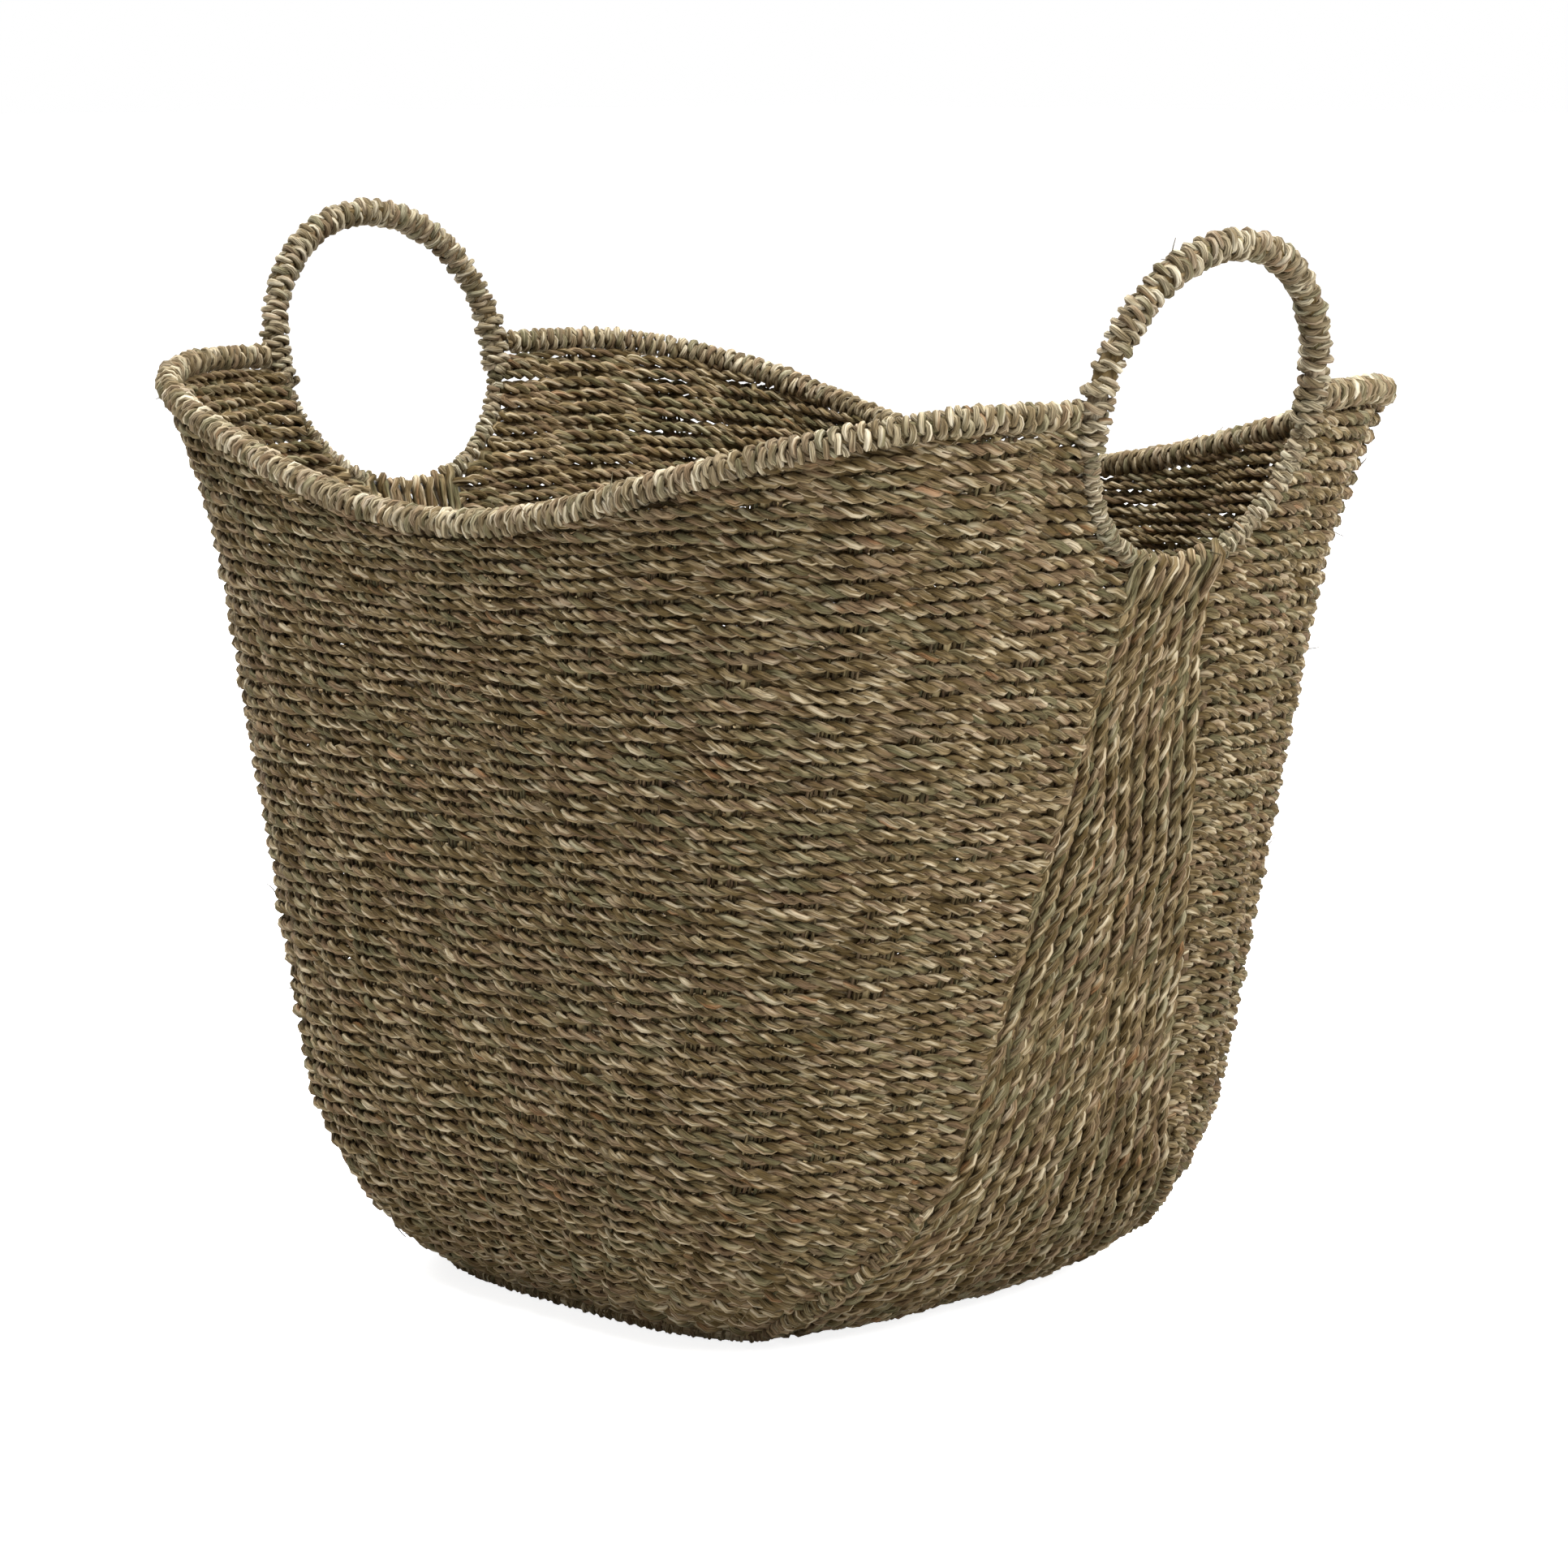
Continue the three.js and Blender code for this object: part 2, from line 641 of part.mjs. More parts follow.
// Each side: panel, stakes and rim
const rimPoints = rimPath();
for (const [name, group] of [["front", front], ["back", back]]) {
  addPiece(group, `${name}_panel`, sidePanel(), rope);
  sideStakeShares.forEach((share, i) => addPiece(group, `${name}_stake_${i + 1}`, sideStake(share), cane));
  addPiece(group, `${name}_rim_wire`, tube(rimPoints, wireRadius, wireSides), steel);
  addPiece(group, `${name}_rim_padding`, tube(rimPoints, rimCoreRadius, wireSides, bore), padding);
  const up = new THREE.Vector3(0, 0, 1);
  const wound = winding(`${name}_rim_winding`, rimPoints, rimRadius, rimCordHalfWidth, rimLoops, up);
  addPiece(group, `${name}_rim_winding`, wound, cord);
}

// Each end: gusset, rungs, seams, and the ring with its grip, binding and ties
const gripPoints = ringArc(1, ringSteps / 2 - 1);
const bindingPoints = ringArc(ringSteps / 2 + 1, ringSteps - 1);
const ends = [
  ["right", rightEnd, "front", "back"],
  ["left", leftEnd, "back", "front"],
];
for (const [name, group, nearSide, farSide] of ends) {
  addPiece(group, `${name}_gusset`, gusset(), rope);
  rungHeights.forEach((z, i) => addPiece(group, `${name}_rung_${i + 1}`, rung(z), cane));
  addPiece(group, `${name}_${nearSide}_seam_wire`, seamWire(1), steel);
  addPiece(group, `${name}_${farSide}_seam_wire`, seamWire(-1), steel);
  addPiece(group, `${name}_ring_wire`, ringTorus(wireRadius), steel);
  addPiece(group, `${name}_grip_padding`, tube(gripPoints, gripCoreRadius, paddingSides, bore), padding);
  const wound = winding(
    `${name}_grip_winding`, gripPoints, gripRadius, gripCordHalfWidth, gripLoops, ringOut,
  );
  addPiece(group, `${name}_grip_winding`, wound, cord);
  addPiece(group, `${name}_opening_binding`, tube(bindingPoints, bindingRadius, paddingSides, bore), cord);
  addPiece(group, `${name}_${nearSide}_tie`, tie(-1), cord);
  addPiece(group, `${name}_${farSide}_tie`, tie(1), cord);
}

// Base
addPiece(basket, "base_panel", basePanel(), rope);
addPiece(basket, "base_wire", baseWire(), steel);
baseStakePlaces.forEach((x, i) => addPiece(basket, `base_stake_${i + 1}`, baseStake(x), cane));

export default basket;
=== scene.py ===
# %% [markdown]
# A magazine basket of twisted seagrass rope, on a frame of cane stakes and steel wire.
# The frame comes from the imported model: stakes, rungs and wires are used as they are, and the
# woven and wound pieces, which the model holds as plain solids, are made here as real rope.
# Lengths are in metres, +Z is up, +X points to one handle and -Y to the front.

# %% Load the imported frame
import math

import bmesh
import bpy
import numpy as np
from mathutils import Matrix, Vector


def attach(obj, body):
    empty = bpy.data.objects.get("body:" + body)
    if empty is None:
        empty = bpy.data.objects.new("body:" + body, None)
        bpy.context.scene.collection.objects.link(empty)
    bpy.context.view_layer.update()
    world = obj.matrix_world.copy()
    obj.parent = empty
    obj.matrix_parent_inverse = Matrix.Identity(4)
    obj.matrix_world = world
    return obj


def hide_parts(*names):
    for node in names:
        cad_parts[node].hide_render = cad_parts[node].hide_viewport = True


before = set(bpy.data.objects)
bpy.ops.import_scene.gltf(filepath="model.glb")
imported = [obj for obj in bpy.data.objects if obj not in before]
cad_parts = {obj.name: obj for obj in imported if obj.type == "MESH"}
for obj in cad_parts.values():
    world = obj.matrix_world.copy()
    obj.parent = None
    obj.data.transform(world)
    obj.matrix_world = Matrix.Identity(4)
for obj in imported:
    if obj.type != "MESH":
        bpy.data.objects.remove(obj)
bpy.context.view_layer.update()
MM = 0.001
print("nodes in the frame:", len(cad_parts))

# %% [markdown]
# The camera stands to the front right, nearly level with the basket, and far enough away for a long
# lens. It is placed by its direction and distance from a point in the middle of the basket. Blender
# gives lens and sensor in millimetres.

# %% Camera
LOOK_AT = Vector((15.5, -3.3, 175.6)) * MM
AZIMUTH = math.radians(45.35)
ELEVATION = math.radians(9.05)
DISTANCE = 1.5977
LENS = 104.2
SENSOR = 36


def view_direction(azimuth, elevation):
    level = math.cos(elevation)
    return Vector((math.sin(azimuth) * level, -math.cos(azimuth) * level, math.sin(elevation)))


camera = bpy.data.objects.new("camera", bpy.data.cameras.new("camera"))
bpy.context.scene.collection.objects.link(camera)
direction = view_direction(AZIMUTH, ELEVATION)
camera.location = LOOK_AT + direction * DISTANCE
camera.rotation_euler = direction.to_track_quat("Z", "Y").to_euler()
camera.data.lens = LENS
camera.data.sensor_width = SENSOR
bpy.context.scene.camera = camera
print("camera at", [round(c, 3) for c in camera.location])

# %% [markdown]
# The wall is one bent surface. Its outline is a rounded square on the floor that grows into a long
# rounded rectangle at the rim, and the foot turns in on a quarter ellipse. The same few sizes shape
# it here as in the frame, so every rope lies where the frame's solids are. Working on whole arrays of
# points at once keeps thousands of rope points quick.

# %% Sizes of the wall
RIM_HEIGHT = 318 * MM
RIM_DIP = 41 * MM
RIM_HALF_LENGTH = 203 * MM
RIM_HALF_WIDTH = 156 * MM
END_SLOPE = 0.211
SIDE_SLOPE = 0.091
FOOT_RISE = 75 * MM
END_TUCK = 54 * MM
SIDE_TUCK = 45 * MM
CORNER_FLARE = 6 * MM
FLARE_START = 0.75
FOOT_POWER = 3.5
RIM_POWER = 3.2
WALL = 7.5 * MM
MID_WALL = WALL / 2
SEAM_HEIGHTS = [0, 0.04, 0.1, 0.2, 0.5, 0.9, 1]
SEAM_WIDTHS = [0.82, 0.76, 0.61, 0.43, 0.285, 0.11, 0.08]
RING_RADIUS = 53.5 * MM
RING_SLOPE = 0.235
RING_COSINE = 1 / math.hypot(1, RING_SLOPE)
RIM_RADIUS = 5.2 * MM
WALL_TOP = RIM_HEIGHT - RIM_RADIUS - 0.5 * MM
STAKE_SPREAD = 0.75
STAKES = 7
COLUMN_GAP = STAKE_SPREAD / (STAKES - 1)


# %% The outer face of the wall
def flare_share(z):
    return np.clip((z / RIM_HEIGHT - FLARE_START) / (1 - FLARE_START), 0, 1) ** 2


def half_sizes(z):
    steepness = np.clip(1 - z / FOOT_RISE, 0, 1)
    tuck = 1 - np.sqrt(1 - steepness**2)
    drop = RIM_HEIGHT - z
    flare = flare_share(z) * MID_WALL
    half_length = RIM_HALF_LENGTH - END_SLOPE * drop - END_TUCK * tuck + flare
    half_width = RIM_HALF_WIDTH - SIDE_SLOPE * drop - SIDE_TUCK * tuck + flare
    return half_length, half_width


def outline_power(z):
    return FOOT_POWER + (RIM_POWER - FOOT_POWER) * z / RIM_HEIGHT


def wall_point(angle, z):
    """Angle 0 is the middle of the right end, and minus a quarter turn the middle of the front."""
    half_length, half_width = half_sizes(z)
    power = 2 / outline_power(z)
    c, s = np.cos(angle), np.sin(angle)
    flare = CORNER_FLARE * flare_share(z) * (2 * c * s) ** 2
    x = np.sign(c) * (np.abs(c) ** power * half_length + flare)
    y = np.sign(s) * (np.abs(s) ** power * half_width + flare)
    return np.stack(np.broadcast_arrays(x, y, z), axis=-1)


def seam_half_width(z):
    return half_sizes(z)[1] * np.interp(z / RIM_HEIGHT, SEAM_HEIGHTS, SEAM_WIDTHS)


def end_point(y, z):
    share = np.clip(np.abs(y) / half_sizes(z)[1], 0, 1)
    return wall_point(np.sign(y) * np.arcsin(share ** (outline_power(z) / 2)), z)


print("half length and half width at the rim:", [round(float(s), 4) for s in half_sizes(RIM_HEIGHT)])

# %% [markdown]
# The ropes of the front run from seam to seam, so a place on the front is best given by its share of
# the way from the middle to the seam. A table of points, evenly spaced along each level line, turns a
# share and a height into a point.

# %% The front by shares of its length
FOOT_STEPS = 48
WALL_STEPS = 90
LINE_STEPS = 240
SHARE_STEPS = 260
LAST_SHARE = 1.04
foot_heights = FOOT_RISE * (1 - np.cos(np.linspace(0, math.pi / 2, FOOT_STEPS)))
table_heights = np.append(foot_heights, np.linspace(FOOT_RISE, RIM_HEIGHT, WALL_STEPS)[1:])
table_shares = np.linspace(0, LAST_SHARE, SHARE_STEPS)


def level_line(z):
    """Points and distances from the middle of the front to the middle of the right end."""
    points = wall_point(np.linspace(-math.pi / 2, 0, LINE_STEPS), z)
    steps = np.linalg.norm(np.diff(points, axis=0), axis=1)
    return points, np.append(0, np.cumsum(steps))


def distance_to_width(z, half_width):
    points, distances = level_line(z)
    return float(np.interp(-half_width, points[:, 1], distances))


def seam_distance(z):
    return distance_to_width(z, seam_half_width(z))


def along_path(at, distances, values):
    """What each column of the values is at places along a path."""
    return np.stack([np.interp(at, distances, column) for column in values.T], axis=-1)


def table_row(z):
    points, distances = level_line(z)
    return along_path(table_shares * seam_distance(z), distances, points[:, :2])


front_table = np.stack([table_row(z) for z in table_heights])
seam_distances = np.array([seam_distance(z) for z in table_heights])


def front_point(share, z):
    share, z = np.broadcast_arrays(share, z)
    row = np.clip(np.searchsorted(table_heights, z) - 1, 0, len(table_heights) - 2)
    low, high = table_heights[row], table_heights[row + 1]
    up = np.clip((z - low) / (high - low), 0, 1)[..., None]
    place = np.clip(np.abs(share) / table_shares[1], 0, len(table_shares) - 1.001)
    column = place.astype(int)
    along = (place - column)[..., None]
    lower = front_table[row, column] * (1 - along) + front_table[row, column + 1] * along
    upper = front_table[row + 1, column] * (1 - along) + front_table[row + 1, column + 1] * along
    point = lower * (1 - up) + upper * up
    return np.stack([np.sign(share) * point[..., 0], point[..., 1], z], axis=-1)


print("front table:", front_table.shape)

# %% [markdown]
# The rim runs low at the middle of each long side. The rows stay nearly level: only high up they sag
# towards the middle, about half as much as the rim, and the highest ones end in the rim's winding on
# the way.

# %% Rim height, levels and depth under the outer face
TIE_RADIUS = 5.4 * MM
TIE_EDGE = RING_RADIUS + TIE_RADIUS + 0.3 * MM
RIM_ROOT = distance_to_width(RIM_HEIGHT, TIE_EDGE) / seam_distance(RIM_HEIGHT)
LEVEL_RIM = 0.93
SAG_START = 190 * MM
SAG_SHARE = 0.5
NEARBY = 0.5 * MM
NEARBY_SHARE = 0.004


def rim_height(share):
    part = np.clip(np.abs(share) / (RIM_ROOT * LEVEL_RIM), 0, 1)
    return RIM_HEIGHT - RIM_DIP * np.cos(part * math.pi / 2) ** 2


def level_height(share, level):
    drop = RIM_HEIGHT - rim_height(share)
    part = np.clip((level - SAG_START) / (WALL_TOP - SAG_START), 0, None)
    return level - SAG_SHARE * drop * part**1.5


def front_surface(share, level):
    return front_point(share, level_height(share, level))


def unit(vectors):
    return vectors / np.linalg.norm(vectors, axis=-1, keepdims=True)


def outward(surface, share, level):
    low = np.maximum(level - NEARBY, 0)
    across = surface(share + NEARBY_SHARE, level) - surface(share - NEARBY_SHARE, level)
    up = surface(share, level + NEARBY) - surface(share, low)
    return unit(np.cross(across, up))


def inside(surface, share, level, depth):
    """Points at a depth under the outer face, and the way outwards there."""
    normal = outward(surface, share, level)
    return surface(share, level) - normal * np.asarray(depth)[..., None], normal


print("the rim is wound out to share", round(RIM_ROOT, 3))

# %% [markdown]
# Twisted rope is two strands that wind round each other. Each strand is a helix about the rope's own
# path, drawn as a curve with a round bevel, which Blender turns into a tube. A right-handed twist
# gives strokes that fall to the right on a level rope and rise to the right on an upright one, as on
# the real basket. A strand's thickness wanders a little, because each is a bunch of grass blades. All
# wandering is drawn from one seeded generator. A wander is given by its size and its wavelength.

# %% Smooth random lines
chance = np.random.default_rng(7)


def wander(length, size, wavelength):
    """A smooth random line, with a value for each millimetre of length and about the given size."""
    knots = chance.normal(0, 1, int(length / wavelength) + 4)
    places = np.arange(int(length / MM) + 2) * MM / wavelength
    base = places.astype(int)
    part = places - base
    part = part * part * (3 - 2 * part)
    return size * (knots[base] * (1 - part) + knots[base + 1] * part)


def drawn(at, size, wavelength):
    """Values of a smooth random line at the given places."""
    values = wander(float(at[-1]), size, wavelength)
    return np.interp(at, np.arange(len(values)) * MM, values)


def any_turn():
    return chance.uniform(0, 6.28)


# %% Strands of a rope
ROPE_RADIUS = 1.92 * MM
ROPE_LAY = 11.8 * MM
PLY_RADIUS = 0.6
PLY_OFFSET = 0.52
TWIST_WANDER = (0.5, 30 * MM)
PLY_WANDER = (0.11, 11 * MM)


def path_length(points):
    return np.append(0, np.cumsum(np.linalg.norm(np.diff(points, axis=0), axis=1)))


def evenly_spaced(points, spacing, *columns):
    """Points an equal way apart on a path, and what the given columns are there."""
    distances = path_length(points)
    count = max(int(distances[-1] / spacing), 2) + 1
    at = np.linspace(0, distances[-1], count)
    tables = [points] + [np.reshape(column, (len(points), -1)) for column in columns]
    return [at] + [along_path(at, distances, table) for table in tables]


def strands(
    points, normals, spacing, radius=ROPE_RADIUS, lay=ROPE_LAY, plump=PLY_RADIUS, size=1.0, turn=None
):
    """Two strands that wind round each other along a path: pairs of centres and radii."""
    size = np.broadcast_to(size, len(points))
    given_turn = np.zeros(len(points)) if turn is None else turn
    at, points, normals, size, turned = evenly_spaced(points, spacing, normals, size, given_turn)
    tangents = unit(np.gradient(points, axis=0))
    normals = unit(normals - tangents * np.sum(normals * tangents, axis=1, keepdims=True))
    sideways = np.cross(tangents, normals)
    if turn is None:
        turned = (2 * math.pi * at / lay + drawn(at, *TWIST_WANDER) + any_turn())[:, None]
    made = []
    for start in (0, math.pi):
        out = np.cos(turned + start) * normals
        across = np.sin(turned + start) * sideways
        thickness = plump * (1 + drawn(at, *PLY_WANDER))
        centres = points + (out + across) * radius * PLY_OFFSET * size
        made.append((centres, radius * thickness * size[:, 0]))
    return made


# %% [markdown]
# Here and there the end of a blade has worked loose and stands off the rope. Each is a short thin
# curve that starts on a strand and bends away from it.

# %% Loose ends of blades
LOOSE_POINTS = 5
LOOSE_RADII = np.linspace(0.3, 0.12, LOOSE_POINTS) * MM
FLOOR_ROOM = 2.9 * MM


def off_floor(points, lowest=FLOOR_ROOM):
    points[:, 2] = np.maximum(points[:, 2], lowest)
    return points


def loose_ends(made, count):
    hairs = []
    part = np.linspace(0, 1, LOOSE_POINTS)[:, None]
    for _ in range(count):
        centres, radii = made[chance.integers(len(made))]
        i = chance.integers(2, len(centres) - 2)
        along = unit(centres[i + 1] - centres[i]) * chance.choice([-1, 1])
        out = unit(centres[i] * [1, 1, 0]) * chance.choice([1, 1, 1, -1])
        lift = out * chance.uniform(0, 0.25) + chance.normal(0, 0.16, 3)
        length = chance.uniform(4, 10) * MM
        path = centres[i] + out * radii[i] * 0.8 + (along * part + lift * part**2) * length
        hairs.append((off_floor(path, 1 * MM), LOOSE_RADII))
    return hairs


# %% [markdown]
# All strands of a piece are the splines of one curve, which becomes a mesh in one step. Its own UV
# map runs along each strand in metres and once round it, shifted from strand to strand, so a finish
# can follow the grass. A second map lays the strands out side by side without overlaps.

# %% Strands to a mesh
SIDES = 6
STRAND_SHIFT = 3
LAYOUT_MARGIN = 4 * MM
LAYOUT_EDGE = 0.04
LAYOUT_FILL = 0.92
pieces = {}


def strand_curve(name, made):
    """A curve whose bevel, at a resolution of 1, is a tube with six sides."""
    curve = bpy.data.curves.new(name, "CURVE")
    curve.dimensions = "3D"
    curve.bevel_depth = 1
    curve.bevel_resolution = 1
    for centres, radii in made:
        spline = curve.splines.new("POLY")
        spline.points.add(len(centres) - 1)
        places = np.column_stack([centres, np.ones(len(centres))]).astype(np.float32)
        spline.points.foreach_set("co", places.ravel())
        spline.points.foreach_set("radius", radii.astype(np.float32))
    return curve


def flat_layout(total, around, length):
    """Rows of strand side by side in a unit square. All corners of a face stay in one row."""
    rows = max(int(math.sqrt(length / (math.pi * 2 * MM))), 1)
    width = length / rows * 1.0001
    row = np.floor(total.reshape(-1, 4).min(axis=1) / width)
    row = np.repeat(row, 4)
    u = (total - row * width + LAYOUT_MARGIN / 2) / (width + 2 * LAYOUT_MARGIN)
    v = (row + LAYOUT_EDGE + LAYOUT_FILL * around) / rows
    return np.column_stack([u, v])


def set_map(layer, places):
    layer.data.foreach_set("uv", places.astype(np.float32).ravel())


def add_maps(mesh, made):
    """Measures each strand, then writes the map along the strands and the flat layout."""
    vertex = np.zeros(len(mesh.loops), np.int32)
    mesh.loops.foreach_get("vertex_index", vertex)
    given = np.zeros(len(mesh.loops) * 2, np.float32)
    mesh.uv_layers[0].data.foreach_get("uv", given)
    around = given.reshape(-1, 2)[:, 1]
    counts = np.array([len(centres) for centres, _ in made])
    lengths = [path_length(centres) for centres, _ in made]
    along = np.concatenate(lengths)[vertex // SIDES]
    strand = np.searchsorted(np.cumsum(counts) * SIDES, vertex, side="right")
    flow = mesh.uv_layers[0]
    flow.name = "Flow"
    set_map(flow, np.column_stack([along, around + STRAND_SHIFT * strand]))
    starts = np.append(0, np.cumsum([line[-1] for line in lengths]))
    layout = mesh.uv_layers.new(name="OFBake")
    set_map(layout, flat_layout(starts[strand] + along, around, starts[-1]))


def close_ends(mesh):
    shape = bmesh.new()
    shape.from_mesh(mesh)
    bmesh.ops.holes_fill(shape, edges=[edge for edge in shape.edges if edge.is_boundary])
    shape.to_mesh(mesh)
    shape.free()


def rope_piece(name, made, finish, replaced):
    curve = strand_curve(name, made)
    maker = bpy.data.objects.new(name, curve)
    mesh = bpy.data.meshes.new_from_object(maker)
    bpy.data.objects.remove(maker)
    bpy.data.curves.remove(curve)
    add_maps(mesh, made)
    close_ends(mesh)
    mesh.name = name
    mesh.materials.clear()
    mesh.materials.append(finish)
    piece = bpy.data.objects.new(name, mesh)
    bpy.context.scene.collection.objects.link(piece)
    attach(piece, "root")
    for node in replaced:
        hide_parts(node)
    pieces[name] = sum(len(face.vertices) - 2 for face in mesh.polygons)
    return piece


# %% [markdown]
# Shader maths reads best as plain sums, so a small class wraps a node's output and adds Math nodes
# for +, - and *. One method makes any other node, in a material or in the world.


# %% Shader sums
class Value:
    """A number from a node's socket that can be used in sums."""

    def __init__(self, nodes, socket):
        self.nodes = nodes
        self.socket = socket

    def sum_with(self, operation, first, second):
        node = self.nodes.node("ShaderNodeMath", {"operation": operation}, {0: first, 1: second})
        return Value(self.nodes, node.outputs[0])

    def __add__(self, other):
        return self.sum_with("ADD", self, other)

    def __sub__(self, other):
        return self.sum_with("SUBTRACT", self, other)

    def __rsub__(self, other):
        return self.sum_with("SUBTRACT", other, self)

    def __mul__(self, other):
        return self.sum_with("MULTIPLY", self, other)

    __radd__ = __add__
    __rmul__ = __mul__


class Nodes:
    """The nodes of a material or of the world."""

    def __init__(self, tree):
        self.tree = tree

    def node(self, kind, settings=None, inputs=None):
        node = self.tree.nodes.new(kind)
        for name, value in (settings or {}).items():
            setattr(node, name, value)
        for key, value in (inputs or {}).items():
            self.feed(node.inputs[key], value)
        return node

    def feed(self, socket, value):
        if isinstance(value, Value):
            value = value.socket
        if isinstance(value, bpy.types.NodeSocket):
            self.tree.links.new(value, socket)
        else:
            socket.default_value = value

    def seen(self):
        """1 for a ray from the camera, a reflection or glass, and 0 for one that only brings light."""
        path = self.node("ShaderNodeLightPath")
        rays = ["Is Camera Ray", "Is Glossy Ray", "Is Transmission Ray"]
        camera_ray, glossy_ray, glass_ray = [Value(self, path.outputs[ray]) for ray in rays]
        return camera_ray + glossy_ray + glass_ray


# %% A finish
class Finish(Nodes):
    """A material, with a Principled shader whose own sockets hold what is the same all over."""

    def __init__(self, name, **settings):
        self.material = bpy.data.materials.new(name)
        self.material.use_nodes = True
        super().__init__(self.material.node_tree)
        self.shader = self.tree.nodes["Principled BSDF"]
        for socket, value in settings.items():
            self.shader.inputs[socket.replace("_", " ")].default_value = value

    def stretched(self, place, along, across):
        inputs = {0: place, 1: (along, across, 1)}
        return self.node("ShaderNodeVectorMath", {"operation": "MULTIPLY"}, inputs).outputs[0]

    def noise(self, place, detail=2.0, roughness=0.5):
        inputs = {"Vector": place, "Scale": 1.0, "Detail": detail, "Roughness": roughness}
        return Value(self, self.node("ShaderNodeTexNoise", None, inputs).outputs["Fac"])

    def between(self, value, low, high):
        inputs = {"Value": value, "From Min": low, "From Max": high}
        settings = {"interpolation_type": "SMOOTHSTEP"}
        return Value(self, self.node("ShaderNodeMapRange", settings, inputs).outputs[0])

    def distance(self, value, level):
        """How far a value is from a level, whichever side of it."""
        node = self.node("ShaderNodeMath", {"operation": "ABSOLUTE"}, {0: value - level})
        return Value(self, node.outputs[0])

    def mixed(self, factor, first, second):
        inputs = {0: factor, 6: first, 7: second}
        return self.node("ShaderNodeMix", {"data_type": "RGBA"}, inputs).outputs[2]

    def coat(self, tone, roughness):
        self.feed(self.shader.inputs["Base Color"], tone)
        self.feed(self.shader.inputs["Roughness"], roughness)

    def bump(self, height, distance):
        inputs = {"Height": height, "Distance": distance, "Strength": 1.0}
        self.feed(self.shader.inputs["Normal"], self.node("ShaderNodeBump", None, inputs).outputs[0])


def colour(red, green, blue):
    """A colour as it is seen on a screen, from 0 to 255, in the linear values that Blender mixes."""
    shares = [value / 255 for value in (red, green, blue)]
    return tuple(s / 12.92 if s <= 0.04045 else ((s + 0.055) / 1.055) ** 2.4 for s in shares) + (1,)


# %% [markdown]
# Seagrass is khaki to olive, with straw-coloured blades and now and then a rusty one. Each strand is a
# bunch of narrow blades, so the colour changes in long streaks and the surface has fine ribs that run
# along the strand, a little askew. Noise on the map that follows the strands, stretched along them,
# gives both. The pale tone sits on the raised blades, partly straw colour and partly a painted
# highlight, and the grooves between blades and between fibres are darkened as painted shade. The wound
# cord is given paler tones than the weave, and one kind is dark all over as painted shade for grass
# deep in the weave, so four kinds of grass share one recipe, and differ in three tones and the amount
# of rust.

# %% Grass finishes
GREEN_STREAK = colour(108, 108, 80)
ROSY_STREAK = colour(138, 112, 90)
RUSTY_STREAK = colour(158, 112, 76)
# Painted shade for the grooves between blades.
BLADE_SEAM_SHADE = colour(54, 42, 26)
# Painted shade for the low places between fibres.
FIBRE_GAP_SHADE = colour(58, 46, 28)


def grass(name, shade, middle, pale, rust_amount):
    finish = Finish(name, Specular_IOR_Level=0.07, IOR=1.45)
    flow = finish.node("ShaderNodeUVMap", {"uv_map": "Flow"}).outputs[0]

    def streaks(along, around, detail=1.0, roughness=0.5):
        """Noise with so many waves to a metre of strand, and so many round it."""
        return finish.noise(finish.stretched(flow, along, around), detail, roughness)

    patches = streaks(110, 0.77)
    blades = streaks(75, 4.3)
    fibres = streaks(160, 17.0, 2.0, 0.65)
    rusty = streaks(45, 1.3)
    green = streaks(25, 0.61)
    rosy = streaks(33, 0.91)
    # The darker tone leans towards the low blades of the bump, so it is partly painted shade.
    middling = finish.between(patches + 0.6 * (blades - 0.5), 0.36, 0.60)
    tone = finish.mixed(middling, colour(*shade), colour(*middle))
    # The pale tone sits on the raised blades: straw colour, and partly a painted highlight on their
    # crests.
    tone = finish.mixed(finish.between(blades + 0.5 * (patches - 0.5), 0.53, 0.78), tone, colour(*pale))
    tone = finish.mixed(finish.between(green, 0.5, 0.64) * 0.55, tone, GREEN_STREAK)
    tone = finish.mixed(finish.between(rosy, 0.5, 0.64) * 0.45, tone, ROSY_STREAK)
    tone = finish.mixed(finish.between(rusty, 0.66, 0.76) * rust_amount, tone, RUSTY_STREAK)
    # The seams between blades are grooves in the bump, and the tone is darkened there as painted shade.
    seam_grooves_and_shade = 1 - finish.between(finish.distance(blades, 0.47), 0.0, 0.05)
    tone = finish.mixed(seam_grooves_and_shade * 0.6, tone, BLADE_SEAM_SHADE)
    # Where the fibres are low in the bump the tone is darkened: painted shade in the fine grooves.
    tone = finish.mixed((1 - finish.between(fibres, 0.36, 0.5)) * 0.6, tone, FIBRE_GAP_SHADE)
    finish.coat(tone, 0.8 - 0.3 * fibres)
    finish.bump(fibres * 0.7 + blades - seam_grooves_and_shade * 0.25, 0.7 * MM)
    return finish.material


weave_grass = grass("weave_grass", (91, 75, 46), (144, 125, 91), (198, 184, 155), 0.5)
cord_grass = grass("cord_grass", (122, 108, 82), (174, 161, 133), (214, 205, 182), 0.4)
rim_grass = grass("rim_grass", (122, 106, 78), (176, 161, 130), (219, 208, 183), 0.4)
# The dark kind is painted shade: grass deep in the weave and in its gaps, darkened all over.
painted_shade_grass = grass("painted_shade_grass", (58, 47, 29), (98, 84, 56), (150, 134, 100), 0.2)
print("grass finishes:", [made.name for made in (weave_grass, cord_grass, rim_grass, painted_shade_grass)])

# %% [markdown]
# The stakes and rungs are cane and the rest of the frame is steel wire. They keep their shapes and
# only get a finish: the grain of cane, with darker spots, and steel dulled in patches. The rungs lie
# deep in the weave, and their cane is painted darker as shade.


